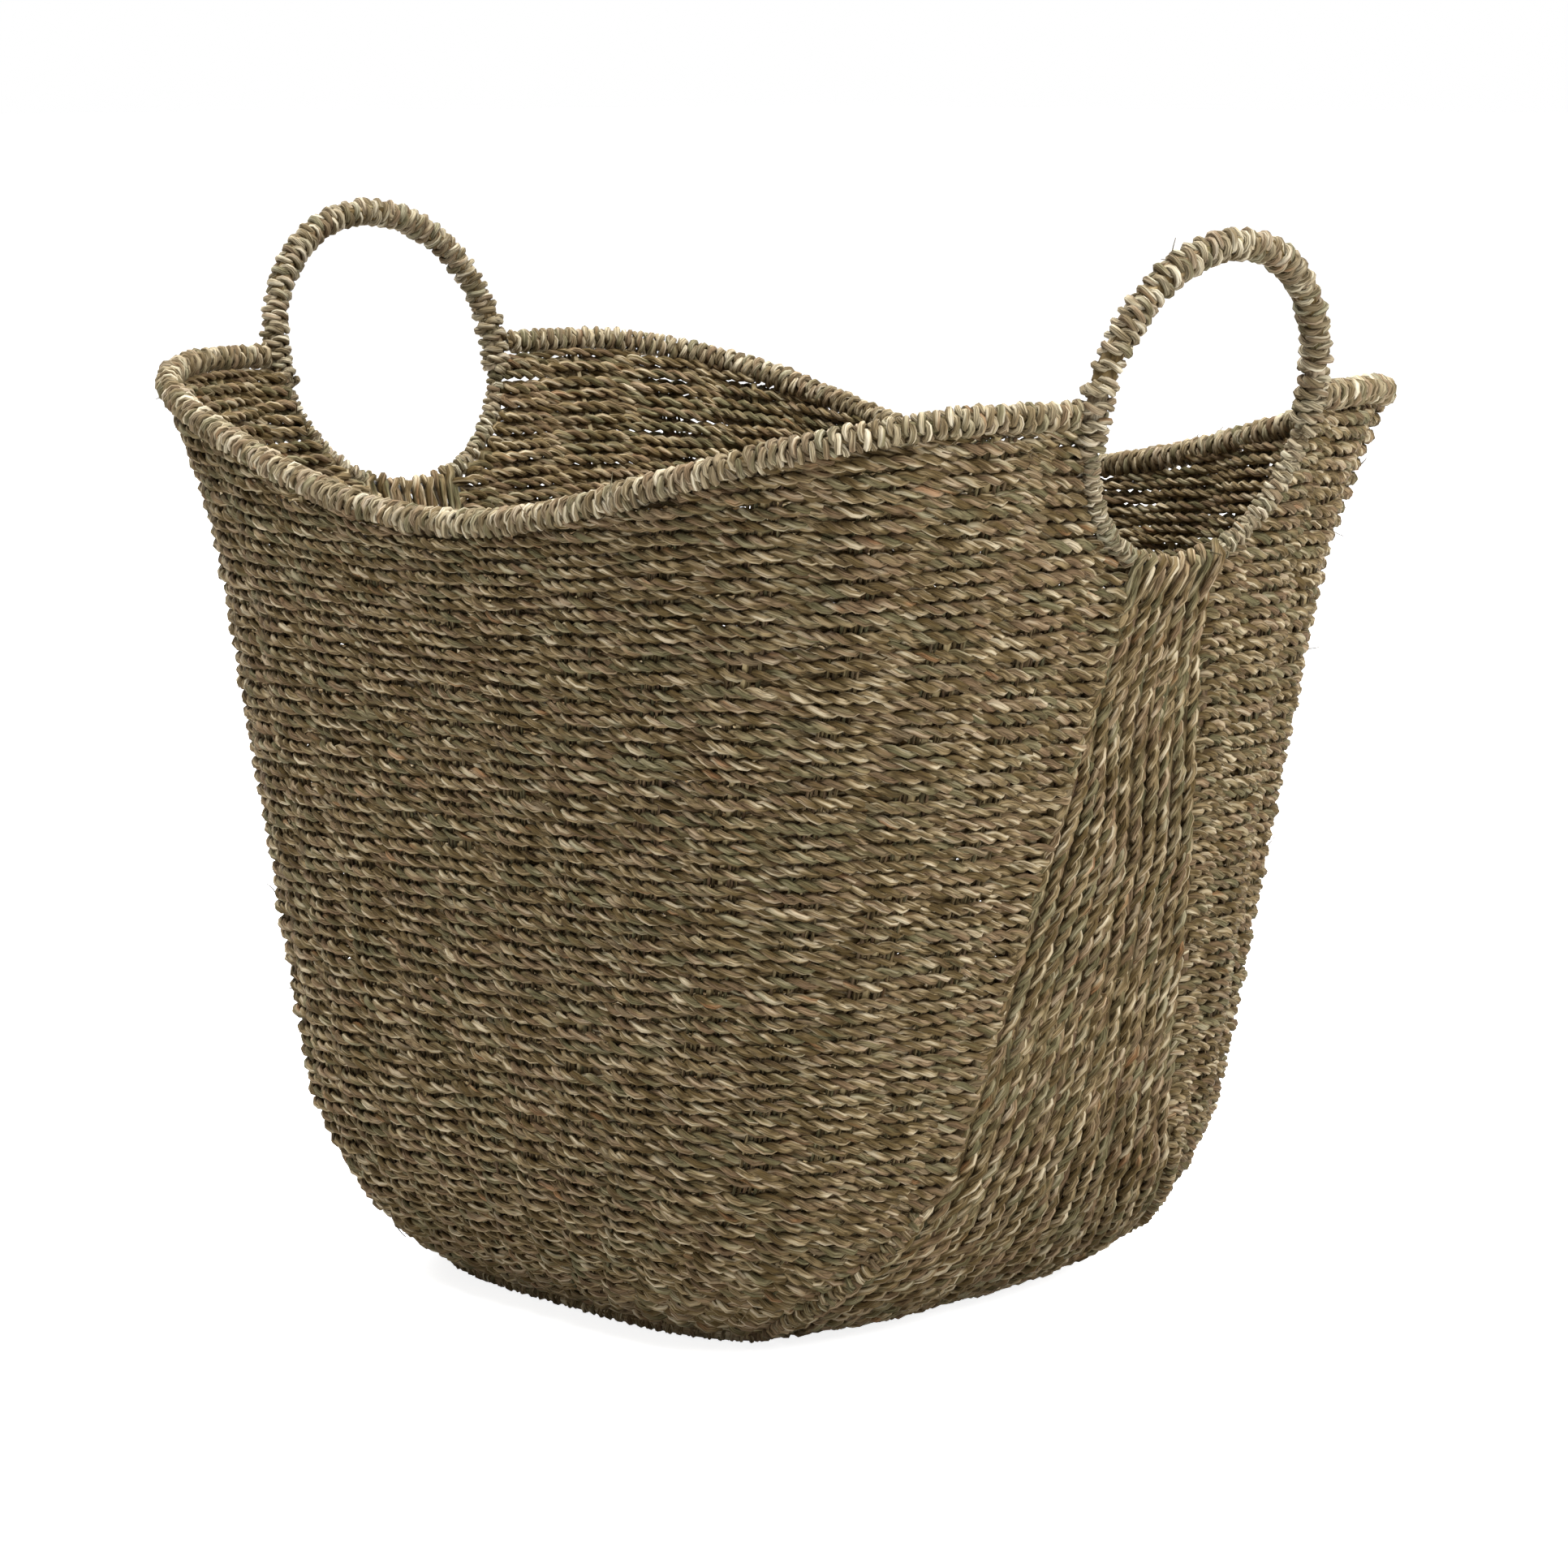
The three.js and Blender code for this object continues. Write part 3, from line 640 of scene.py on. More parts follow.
# %% Finish the frame's own pieces
def cane(name, dark, light):
    finish = Finish(name, Specular_IOR_Level=0.35)
    place = finish.node("ShaderNodeTexCoord").outputs["Object"]
    grain = finish.noise(finish.stretched(place, 900, 900), 3.0, 0.6)
    spots = finish.noise(finish.stretched(place, 120, 120), 2.0)
    tone = finish.mixed(grain, dark, light)
    tone = finish.mixed(finish.between(spots, 0.5, 0.75) * 0.6, tone, dark)
    finish.coat(tone, 0.45 + 0.25 * grain)
    finish.bump(grain, 0.1 * MM)
    return finish.material


def wire(name):
    finish = Finish(name, Metallic=1.0)
    place = finish.node("ShaderNodeTexCoord").outputs["Object"]
    dull = finish.noise(finish.stretched(place, 300, 300), 3.0, 0.6)
    finish.coat(finish.mixed(dull, colour(92, 90, 86), colour(138, 136, 130)), 0.35 + 0.3 * dull)
    finish.bump(dull, 0.05 * MM)
    return finish.material


stake_cane = cane("stake_cane", colour(134, 114, 76), colour(186, 168, 124))
# The rungs' cane is darker: painted shade for their place deep in the weave.
rung_cane_painted_shade = cane("rung_cane_painted_shade", colour(66, 54, 34), colour(104, 89, 60))
frame_wire = wire("frame_wire")


def frame_finish(name):
    if name.endswith("_wire"):
        return frame_wire
    return rung_cane_painted_shade if "_rung_" in name else stake_cane


for name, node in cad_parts.items():
    for slot in node.material_slots:
        slot.material = frame_finish(name)
for kind in ("stake", "rung", "wire"):
    print(kind, "pieces:", sum(f"_{kind}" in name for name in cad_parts))

# %% [markdown]
# The front and the back are each woven from level rows. Stakes, and bundles of blades midway between
# them, stand in columns. A row passes outside one column and inside the next, the row above it the
# other way about, so at each column every second rope stands out. At a seam the rope turns back round
# the seam wire, so a panel is one long path that runs to and fro. It is worked out row by row as
# shares, levels and depths, and only then laid on the wall. A row that meets the rim goes a little way
# into its winding, so that no gap shows under the rim.

# %% Levels of the rows
ROW_PITCH = 2.35 * MM
LOWEST_LEVEL = 4.5 * MM
HIGHEST_LEVEL = WALL_TOP - 0.4 * MM
RIM_BITE = 1.4 * MM
MEASURED_SHARE = 0.4


def row_levels():
    """Levels of rows an equal way apart, measured between the middle of the front and a seam."""
    heights = LOWEST_LEVEL + np.linspace(0, 1, 2000) ** 2 * (HIGHEST_LEVEL - LOWEST_LEVEL)
    distances = path_length(front_surface(np.full_like(heights, MEASURED_SHARE), heights))
    count = round(distances[-1] / ROW_PITCH)
    return np.interp(np.linspace(0, distances[-1], count + 1), distances, heights)


def rim_share(level):
    """How far from the middle a row comes out of the rim's winding, or 0 if it passes below it."""
    shares = np.linspace(0, RIM_ROOT, 300)
    highest = rim_height(shares) - RIM_HEIGHT + HIGHEST_LEVEL + RIM_BITE
    room = highest - level_height(shares, level)
    return float(np.interp(0, room, shares)) if room[0] < 0 else 0.0


levels = np.append(row_levels(), HIGHEST_LEVEL + 1 * MM)
whole_rows = [rim_share(level) == 0 for level in levels].index(False)
print(len(levels) - 1, "rows, of which", whole_rows, "pass below the rim")

# %% Where a row ends, and how it passes the columns
SEAM_BAND = 4 * MM
BAND_TOP = 52 * MM
BAND_ROOM = 1.55 * SEAM_BAND
BAND_FADE = 6 * MM
PAST_SEAM = 0.5 * MM
RING_ROOM = 5 * MM
LATENESS = 0.12
LATE_WANDER = (0.6, 60 * MM)
WAVE_POWER = 1.2


def distance_at(level):
    return float(np.interp(level, table_heights, seam_distances))


def band_room(level):
    """Room left for the wound band along the foot of a seam."""
    return BAND_ROOM * np.clip((BAND_TOP - level) / BAND_FADE, 0, 1)


def edge_share(level):
    """How far a row reaches towards the seam, or higher up towards the binding of the opening."""
    rise = (level + MID_WALL * RING_SLOPE * RING_COSINE - RIM_HEIGHT) / RING_COSINE
    round_ring = math.sqrt(max((RING_RADIUS + RING_ROOM) ** 2 - rise**2, 0))
    at_ring = distance_to_width(level, round_ring) if round_ring > 0 else math.inf
    at_seam = distance_at(level) + PAST_SEAM - float(band_room(level))
    return min(at_seam, at_ring) / distance_at(level)


def own_drift(x, size, wavelength):
    values = wander(float(x.max() - x.min()), size, wavelength)
    return x.min() + np.arange(len(values)) * MM, values


def wave_share(share, row):
    """From 1, outside a column, to -1, inside it, a little early or late in each row."""
    x = share * distance_at(RIM_HEIGHT)
    late = LATENESS * (1 - share**2) * np.interp(x, *own_drift(x, *LATE_WANDER))
    wave = np.cos(math.pi * (share / COLUMN_GAP + row + late))
    return np.sign(wave) * np.abs(wave) ** WAVE_POWER


# %% [markdown]
# Side by side, two twisted ropes settle so that the humps of one lie in the hollows of the next. So
# the twist of a row is not left to chance: it depends on the place along the wall, and is about a
# quarter turn on from the row below. Slow waves over the whole wall keep it from looking ruled. At a
# turn the rope's twist runs on to the next row's.

# %% The twist of each row
ROW_HALF_TURNS = 0.56
SLOW_WAVES = [(0.9, 52, 60, 0), (0.7, 31, -97, 1)]
ROW_WANDER = (0.45, 40 * MM)


def settled_twist(shares, level, row):
    x = shares * distance_at(level)
    drift = sum(size * np.sin(along * x + up * level + start) for size, along, up, start in SLOW_WAVES)
    own = np.interp(x, *own_drift(x, *ROW_WANDER))
    return 2 * math.pi * x / ROPE_LAY + row * ROW_HALF_TURNS * math.pi + drift + own


# %% The path of a panel
SPACING = 2.13 * MM
TURN_PARTS = np.linspace(0.2, 0.8, 4)
TURN = TURN_PARTS * math.pi
TURN_REACH = 2.4 * MM
TURN_TWIST = 3.4


def way_of(row):
    """Rows run by turns to the right and to the left."""
    return 1 if row % 2 == 0 else -1


def row_ends(level, below, section, ahead):
    """Where a row starts and stops. From the rim it starts where the row before it stopped."""
    edge = edge_share(level)
    if section == "whole":
        return -edge * ahead, edge * ahead
    side = 1 if section == "right" else -1
    if side == ahead:
        return side * rim_share(below), side * edge
    return side * edge, side * rim_share(level)


def row_places(row, level, below, section):
    """Shares and waves of a row and of the turn after it, and how far the turn has climbed."""
    ahead = way_of(row)
    first, last = row_ends(level, below, section, ahead)
    count = max(int(abs(last - first) * distance_at(level) / SPACING), 3)
    shares = np.linspace(first, last, count)
    waves = wave_share(shares, row)
    reach = TURN_REACH if abs(last) == edge_share(level) else 0
    turned_shares = last + ahead * reach / distance_at(level) * np.sin(TURN)
    turned_waves = waves[-1] * np.cos(TURN)
    climb = np.append(np.zeros(count), (1 - np.cos(TURN)) / 2)
    return shares, np.append(shares, turned_shares), np.append(waves, turned_waves), climb


def row_gap(shares, level, above):
    """How far apart this row and the next one are, as a share of the usual pitch."""
    gap = np.linalg.norm(front_surface(shares, above) - front_surface(shares, level), axis=-1)
    return np.clip(gap / ROW_PITCH, 0.9, 1.25)


def panel_path(rows, first_row, section):
    shares, heights, waves, sizes, twists = [], [], [], [], []
    for i, (level, above) in enumerate(zip(rows[:-1], rows[1:])):
        row = first_row + i
        below = rows[max(i - 1, 0)]
        straight, row_shares, row_waves, climb = row_places(row, level, below, section)
        twist = settled_twist(straight, level, row) * way_of(row)
        if twists:
            twist = twist + round((twists[-1] + TURN_TWIST - twist[0]) / math.pi) * math.pi
            twists += list(np.linspace(twists[-1], twist[0], len(TURN) + 2)[1:-1])
        twists += list(twist)
        shares.append(row_shares)
        heights.append(level + climb * (above - level))
        waves.append(row_waves)
        sizes.append(row_gap(row_shares, level, above))
    twists += list(twists[-1] + TURN_TWIST * TURN_PARTS)
    return [np.concatenate(column) for column in (shares, heights, waves, sizes)] + [np.array(twists)]


# %% The path on the wall
WAVE = 2.2 * MM
HEIGHT_WANDERS = [(0.4 * MM, 34 * MM), (0.25 * MM, 14 * MM)]
WAVE_WANDER = (0.15, 70 * MM)
DEPTH_WANDER = (0.3 * MM, 45 * MM)


def laid_on_wall(shares, heights, waves):
    steps = np.arange(len(shares)) * SPACING
    for height_wander in HEIGHT_WANDERS:
        heights = heights + drawn(steps, *height_wander)
    heights = np.clip(heights, 1 * MM, WALL_TOP)
    waves = waves * (1 + drawn(steps, *WAVE_WANDER))
    depths = MID_WALL - WAVE * waves + drawn(steps, *DEPTH_WANDER)
    points, normals = inside(front_surface, shares, heights, depths)
    return off_floor(points), normals


# %% Weave the front and the back
PARTS_OF_PANEL = ["foot", "low", "middle", "upper"]
LOOSE_ENDS_IN_PART = 45
SWELL = 0.06
TURNED_ROUND = np.array([-1, -1, 1])
LONG_SIDES = [("front", np.ones(3)), ("back", TURNED_ROUND)]


def woven(first, last, section, facing):
    shares, heights, waves, sizes, twists = panel_path(levels[first : last + 1], first, section)
    points, normals = laid_on_wall(shares, heights, waves)
    swell = sizes * (1 + SWELL * waves)
    return strands(points * facing, normals * facing, SPACING, size=swell, turn=twists)


for side, facing in LONG_SIDES:
    borders = np.linspace(0, whole_rows, len(PARTS_OF_PANEL) + 1).astype(int)
    parts = {}
    for part, first, last in zip(PARTS_OF_PANEL, borders[:-1], borders[1:]):
        parts[part] = woven(first, last, "whole", facing)
    last = len(levels) - 1
    parts["top"] = woven(whole_rows, last, "left", facing) + woven(whole_rows, last, "right", facing)
    for part, made in parts.items():
        name = f"{side}_weave_{part}"
        made = made + loose_ends(made, LOOSE_ENDS_IN_PART)
        rope_piece(name, made, weave_grass, [f"{side}_panel"])
        print(name, pieces[name], "triangles")

# %% [markdown]
# Beside each stake, and in the columns midway between stakes, run thin stiff blades. Between two ropes
# that pass outside, they show as a dark patch of short upright strokes, their grass darkened as painted
# shade. Where the foot turns under, level bundles fill the joints between the lowest rows, which the
# real weave packs too tight for light to come through. Plain thin strands in the same darkened grass do
# for both, because only their edges show.

# %% Thin blades in the columns
STAKE_BLADES = np.array([-5.7, -4.1, -2.5, 2.5, 4.1, 5.7]) * MM
MIDWAY_BLADES = np.array([-4.8, -3.2, -1.6, 0, 1.6, 3.2, 4.8]) * MM
BLADE_RADIUS = 0.6 * MM
BLADE_DEPTH = 2.6 * MM
BLADE_STEP = 12 * MM
BLADE_TO_EDGE = 0.02
BLADE_WANDER = (0.35 * MM, 30 * MM)
BLADE_DEPTH_WANDER = (0.3 * MM, 40 * MM)
BUNDLED_JOINTS = 9
BUNDLE_REACH = 0.97
BUNDLE_RADIUS = 1 * MM


def blade(share, place):
    highest = float(rim_height(share)) - RIM_HEIGHT + WALL_TOP
    heights = np.arange(BLADE_STEP, highest, BLADE_STEP)
    heights = heights[[edge_share(height) > abs(share) + BLADE_TO_EDGE for height in heights]]
    distances = np.interp(heights, table_heights, seam_distances)
    shares = share + (place + drawn(heights, *BLADE_WANDER)) / distances
    depths = BLADE_DEPTH + drawn(heights, *BLADE_DEPTH_WANDER)
    points, _ = inside(front_point, shares, heights, depths)
    return points


def thin_strand(points, radius):
    return points, np.full(len(points), radius)


def blade_strands(facing):
    made = []
    for column in range(-STAKES, STAKES + 1):
        has_stake = column % 2 == 0
        for place in STAKE_BLADES if has_stake else MIDWAY_BLADES:
            made.append(thin_strand(blade(column * COLUMN_GAP, place) * facing, BLADE_RADIUS))
    return made


def foot_bundles(facing):
    shares = np.linspace(-BUNDLE_REACH, BUNDLE_REACH, 90)
    made = []
    for level in (levels[:BUNDLED_JOINTS] + levels[1 : BUNDLED_JOINTS + 1]) / 2:
        points, _ = inside(front_surface, shares, level, MID_WALL)
        made.append(thin_strand(off_floor(points) * facing, BUNDLE_RADIUS))
    return made


for side, facing in LONG_SIDES:
    made = blade_strands(facing) + foot_bundles(facing)
    rope_piece(f"{side}_blades", made, painted_shade_grass, [f"{side}_panel"])
print("blades:", pieces["front_blades"], "triangles a side")

# %% [markdown]
# The gusset under each opening is woven the other way. Each rope goes up, over the ring's wire or a
# loop, and down again a little further along, and its two legs pass on opposite sides of every rung.
# The gusset widens downwards, so more ropes join in between the first eight and push them aside. Thin
# bundles of blades, darkened as painted shade, lie between the two layers, so that no light comes
# through.

# %% The handle ring's own directions
RING_MIDDLE = np.array([RIM_HALF_LENGTH, 0, RIM_HEIGHT])
RING_UP = np.array([RING_SLOPE, 0, 1]) * RING_COSINE
RING_ACROSS = np.array([0.0, 1, 0])
RING_OUT = np.cross(RING_ACROSS, RING_UP)


def ring_point(angle):
    """Places on the ring: angle 0 is on the back, a quarter turn the top."""
    spoke = np.cos(angle)[..., None] * RING_ACROSS + np.sin(angle)[..., None] * RING_UP
    return RING_MIDDLE + RING_RADIUS * spoke, spoke


print("the ring leans", round(math.degrees(math.atan(RING_SLOPE)), 1), "degrees")

# %% Where the ropes of a gusset stand
GUSSET_PITCH = 5.9 * MM
FIRST_ROPES = 8
ROPES_BETWEEN = 3
GUSSET_FOOT = 1.2 * MM
GUSSET_TOP = RIM_HEIGHT - (RING_RADIUS + 5.1 * MM) * RING_COSINE
SEAM_ROOM = 0.4 * MM
JOINING_LENGTH = 22 * MM


def gusset_heights():
    """Heights from the floor to the ring, an equal way apart along the middle of the end."""
    heights = GUSSET_FOOT + np.linspace(0, 1, 1500) ** 2 * (GUSSET_TOP - GUSSET_FOOT)
    distances = path_length(end_point(np.zeros_like(heights), heights))
    return np.interp(np.arange(0, distances[-1], SPACING), distances, heights)


def gusset_width(heights):
    return 2 * (seam_half_width(heights) - SEAM_ROOM - 0.5 * band_room(heights))


def rope_starts(heights):
    """The height under which each rope of the gusset is there."""
    count = FIRST_ROPES * (ROPES_BETWEEN + 1)
    starts = np.full(count, np.inf)
    joining = [i for i in range(count) if i % (ROPES_BETWEEN + 1) != 1]
    widths = gusset_width(heights)
    for order, i in enumerate(chance.permutation(joining)):
        wide_enough = heights[widths >= GUSSET_PITCH * (FIRST_ROPES + order + 1)]
        starts[i] = wide_enough.max() if len(wide_enough) else 0
    return starts


def leg_places(heights, starts):
    """Distances of each rope's outer and inner legs from the middle of the gusset, at each height."""
    weights = np.clip((starts[:, None] - heights[None, :]) / JOINING_LENGTH, 0, 1)
    before = np.cumsum(weights, axis=0)
    scale = gusset_width(heights) / weights.sum(axis=0)
    legs = [before - 0.75 * weights, before - 0.25 * weights]
    return [leg * scale - gusset_width(heights) / 2 for leg in legs]


print("gusset from", GUSSET_FOOT, "to", round(GUSSET_TOP, 4))

# %% One leg of a gusset's rope
RUNG_HEIGHTS = np.linspace(38, 237, 4) * MM
GUSSET_LAY = 11 * MM
GUSSET_WAVE = 1.8 * MM
LEG_WANDER = (0.45 * MM, 13 * MM)
LEG_DEPTH_WANDER = (0.4 * MM, 11 * MM)
LEG_TWIST_WANDER = (0.7, 30 * MM)


def end_normal(y, z):
    across = end_point(y + NEARBY, z) - end_point(y - NEARBY, z)
    up = end_point(y, z + NEARBY) - end_point(y, np.maximum(z - NEARBY, 0))
    return unit(np.cross(across, up))


def rung_wave(heights):
    """1 at the ring and at every second rung, and less at the rungs between."""
    wave = np.cos(math.pi * np.interp(heights, [0, *RUNG_HEIGHTS, GUSSET_TOP], [-0.6, 0, 1, 2, 3, 4]))
    return 0.72 + 0.28 * wave


def leg(places, heights, outer):
    """Points, normals and twist of one leg, from the foot up."""
    normals = end_normal(places, heights)
    steps = np.arange(len(heights)) * SPACING
    places = places + drawn(steps, *LEG_WANDER)
    depths = MID_WALL - outer * GUSSET_WAVE * rung_wave(heights) + drawn(steps, *LEG_DEPTH_WANDER)
    points = off_floor(end_point(places, heights) - normals * depths[:, None])
    twist = 2 * math.pi * steps / GUSSET_LAY + drawn(steps, *LEG_TWIST_WANDER) + any_turn()
    return points, normals, twist


# %% A whole rope of a gusset
LEG_TOP = GUSSET_TOP - 3 * MM
HOOK_RADIUS = 2.9 * MM
HOOK_TURN = np.linspace(-0.12, 1.12, 9)[:, None] * math.pi
FOLD_TURN = np.linspace(0.15, 0.85, 4)[:, None] * math.pi
EXTRA_TWIST = 1.5
UP = np.array([0, 0, 1.0])


def hook(first, last):
    """The rope's way over the ring wire, from one distance from the middle to the other."""
    angle = -np.arccos(np.clip(np.linspace(first, last, len(HOOK_TURN)) / RING_RADIUS, -1, 1))
    wire_point, spoke = ring_point(angle)
    around = np.cos(HOOK_TURN) * RING_OUT - np.sin(HOOK_TURN) * spoke
    return wire_point + around * HOOK_RADIUS, around


def fold(point_out, point_in, normal):
    """The rope's way through the wall, over a loop between the two layers."""
    middle = (point_out + point_in) / 2
    half = (point_out - point_in) / 2
    around = np.cos(FOLD_TURN) * half + np.sin(FOLD_TURN) * UP * np.linalg.norm(half)
    return middle + around, np.cos(FOLD_TURN) * normal + np.sin(FOLD_TURN) * UP


def upright_rope(outer_places, inner_places, heights, start):
    there = heights <= min(start, LEG_TOP)
    outer, outer_normals, outer_twist = leg(outer_places[there], heights[there], 1)
    inner, inner_normals, inner_twist = leg(inner_places[there], heights[there], -1)
    if math.isinf(start):
        over, over_normals = hook(outer_places[there][-1], inner_places[there][-1])
    else:
        over, over_normals = fold(outer[-1], inner[-1], outer_normals[-1])
    points = np.concatenate([outer, over, inner[::-1]])
    normals = np.concatenate([outer_normals, over_normals, -inner_normals[::-1]])
    down_twist = math.pi - inner_twist[::-1]
    twist_over = 2 * math.pi * path_length(over)[-1] / GUSSET_LAY + EXTRA_TWIST
    down_twist = down_twist + round((outer_twist[-1] + twist_over - down_twist[0]) / math.pi) * math.pi
    over_twist = np.linspace(outer_twist[-1], down_twist[0], len(over) + 2)[1:-1]
    return points, normals, np.concatenate([outer_twist, over_twist, down_twist])


# %% Weave the gussets
GUSSET_SIZE = 1.17
SHORTEST_ROPE = 12 * MM
SHORTEST_BUNDLE = 30 * MM
BUNDLE_STEP = 6
GUSSET_BUNDLE_RADIUS = 1.45 * MM
LOOSE_ENDS_IN_GUSSET = 70
ENDS = [("right", np.ones(3)), ("left", TURNED_ROUND)]


def gusset_strands(facing):
    heights = gusset_heights()
    starts = rope_starts(heights)
    outer_places, inner_places = leg_places(heights, starts)
    made = []
    for i, start in enumerate(starts):
        if start > SHORTEST_ROPE:
            points, normals, twist = upright_rope(outer_places[i], inner_places[i], heights, start)
            made += strands(points * facing, normals * facing, SPACING, size=GUSSET_SIZE, turn=twist)
    return made


def gusset_bundle(places, heights, start):
    there = np.flatnonzero(heights <= min(start, LEG_TOP))[::BUNDLE_STEP]
    normals = end_normal(places[there], heights[there])
    points = off_floor(end_point(places[there], heights[there]) - normals * MID_WALL)
    return thin_strand(points, GUSSET_BUNDLE_RADIUS)


def gusset_lining(facing):
    heights = gusset_heights()
    starts = rope_starts(heights)
    made = []
    for places in leg_places(heights, starts):
        for i in np.flatnonzero(starts > SHORTEST_BUNDLE):
            points, radii = gusset_bundle(places[i], heights, starts[i])
            made.append((points * facing, radii))
    return made


for end, facing in ENDS:
    made = gusset_strands(facing)
    print(end, "gusset:", len(made) // 2, "ropes")
    made += loose_ends(made, LOOSE_ENDS_IN_GUSSET)
    rope_piece(f"{end}_gusset_weave", made, weave_grass, [f"{end}_gusset"])
    rope_piece(f"{end}_gusset_blades", gusset_lining(facing), painted_shade_grass, [f"{end}_gusset"])
    print(end, "gusset:", pieces[f"{end}_gusset_weave"], "triangles")

# %% [markdown]
# The base is flat: rows run along the basket over and under five stakes, and turn back at the wire
# round the edge. It shows only from below, so its ropes have fewer points, but it has to be whole
# there. So two ropes lie round its border and two more round the foot of the wall, above the wound
# edge, and thin bundles lie crosswise among the rows.

# %% Rows and borders of the base
BASE_STAKES = 5
BASE_STAKE_GAP = 2 * float(half_sizes(np.array(0.0))[0]) / (BASE_STAKES + 1)
BASE_PITCH = 3.4 * MM
BASE_WAVE = 0.9 * MM
BASE_STEP = 3 * MM
EDGE_CORD = 3.6 * MM
EDGE_LEVEL = 3 * MM
EDGE_INSET = 1.5 * MM
half_length, half_width = [float(s) - EDGE_INSET - EDGE_CORD for s in half_sizes(np.array(EDGE_LEVEL))]


def base_reach(place, half_way, half_across):
    """How far the base reaches sideways at a place on the way to its edge."""
    return half_across * (1 - (abs(place) / half_way) ** FOOT_POWER) ** (1 / FOOT_POWER)


def facing_down(points):
    return points, np.tile([0, 0, -1.0], (len(points), 1))


def base_path():
    count = int(2 * half_width / BASE_PITCH)
    rows = []
    for row in range(count):
        y = (row + 0.5 - count / 2) * BASE_PITCH
        edge = base_reach(y, half_width, half_length) - BASE_PITCH / 2
        x = np.linspace(edge, -edge, max(int(2 * edge / BASE_STEP), 4)) * way_of(row)
        x_turn = x[-1] + np.sign(x[-1]) * BASE_PITCH / 2 * np.sin(TURN)
        y_turn = y + BASE_PITCH / 2 * (1 - np.cos(TURN))
        wave = BASE_WAVE * np.cos(math.pi * (x / BASE_STAKE_GAP + row))
        z = np.append(wave, wave[-1] * np.cos(TURN)) + MID_WALL
        rows.append(np.column_stack([np.append(x, x_turn), np.append(np.full(len(x), y), y_turn), z]))
    return facing_down(np.concatenate(rows))


def inwards_of(outline):
    return np.cross(UP, unit(np.gradient(outline, axis=0)))


def base_border(inset, height):
    outline = wall_point(np.linspace(0, 2 * math.pi, 400), EDGE_LEVEL)
    points = outline + inwards_of(outline) * inset
    points[:, 2] = height
    return facing_down(points)


print("half length and half width of the base:", round(half_length, 4), round(half_width, 4))

# %% Weave the base
BASE_ROPE_RADIUS = 2.2 * MM
BASE_ROPE_LAY = 20 * MM
BASE_ROPE_STEP = 3.6 * MM
BASE_ROPE_PLY = 0.72
BORDER_LAY = 16 * MM
BORDER_PLY = 0.68
BORDERS = [(-1.2 * MM, 7 * MM), (2.6 * MM, 7.4 * MM), (6.5 * MM, MID_WALL), (9.5 * MM, MID_WALL)]
LINING_INSET = 4 * MM
LINING_PITCH = 3.2 * MM
LINING_RADIUS = 1.3 * MM
LINING_POINTS = 12


def base_lining():
    last = half_length - LINING_INSET
    made = []
    for x in np.arange(-last, last, LINING_PITCH):
        edge = base_reach(x, half_length, half_width) - 1 * MM
        across = np.broadcast_arrays(x, np.linspace(-edge, edge, LINING_POINTS), MID_WALL)
        made.append(thin_strand(np.stack(across, axis=-1), LINING_RADIUS))
    return made


made = strands(*base_path(), BASE_ROPE_STEP, BASE_ROPE_RADIUS, BASE_ROPE_LAY, BASE_ROPE_PLY)
for inset, height in BORDERS:
    made += strands(*base_border(inset, height), BASE_STEP, BASE_ROPE_RADIUS, BORDER_LAY, BORDER_PLY)
rope_piece("base_weave", made, weave_grass, ["base_panel"])
# The crosswise bundles of the base are in the grass darkened as painted shade.
rope_piece("base_blades", base_lining(), painted_shade_grass, ["base_panel"])
print("base weave:", pieces["base_weave"], "triangles")

# %% [markdown]
# Rim, grips and the edges of the openings are wound: a cord goes round and round a core of wire and
# grass. The cord is the same two-strand rope with a little thinner strands, and its turns are never
# quite even. A helix about the core's line gives the path. Each cord is given by the pitch of its
# turns, its own radius and its lay.

# %% Winding a cord round a core
CORD_SPACING = 1.3 * MM
CORD_PLY_RADIUS = 0.56
WINDING_STEP = 1.1 * MM
WINDING_WANDER = (1.0, 15 * MM)
TIGHTNESS_WANDER = (0.05, 8 * MM)
CORE_WANDER = (0.05, 15 * MM)
RIM_CORD = (4.3 * MM, 2.15 * MM, 10 * MM)


def wound_path(core, reference, radius, pitch):
    distances = path_length(core)
    count = int(distances[-1] / pitch * 2 * math.pi * radius / WINDING_STEP)
    at = np.linspace(0, distances[-1], count)
    centre = along_path(at, distances, core)
    tangent = unit(np.gradient(centre, axis=0))
    sideways = unit(np.cross(reference, tangent))
    up = np.cross(tangent, sideways)
    angle = 2 * math.pi * at / pitch + drawn(at, *WINDING_WANDER)
    out = np.cos(angle)[:, None] * sideways + np.sin(angle)[:, None] * up
    return centre + out * (radius * (1 + drawn(at, *TIGHTNESS_WANDER)))[:, None], out


def wound_strands(core, reference, outer_radius, cord=RIM_CORD):
    pitch, cord_radius, lay = cord
    centre_radius = outer_radius - cord_radius * (CORD_PLY_RADIUS + PLY_OFFSET)
    points, normals = wound_path(core, reference, centre_radius, pitch)
    return strands(points, normals, CORD_SPACING, cord_radius, lay, CORD_PLY_RADIUS)


def core_strand(core, radius):
    """A plump bundle of grass under the winding."""
    at = path_length(core)
    return [(core, radius * (1 + drawn(at, *CORE_WANDER)))]


# %% Wind the rims
RIM_WOUND = RIM_RADIUS + 0.2 * MM
RIM_CORE = 2.7 * MM
LOOSE_ENDS_IN_RIM = 7


def rim_core():
    shares = np.linspace(-RIM_ROOT, RIM_ROOT, 420)
    points, _ = inside(front_point, shares, rim_height(shares), MID_WALL)
    return points


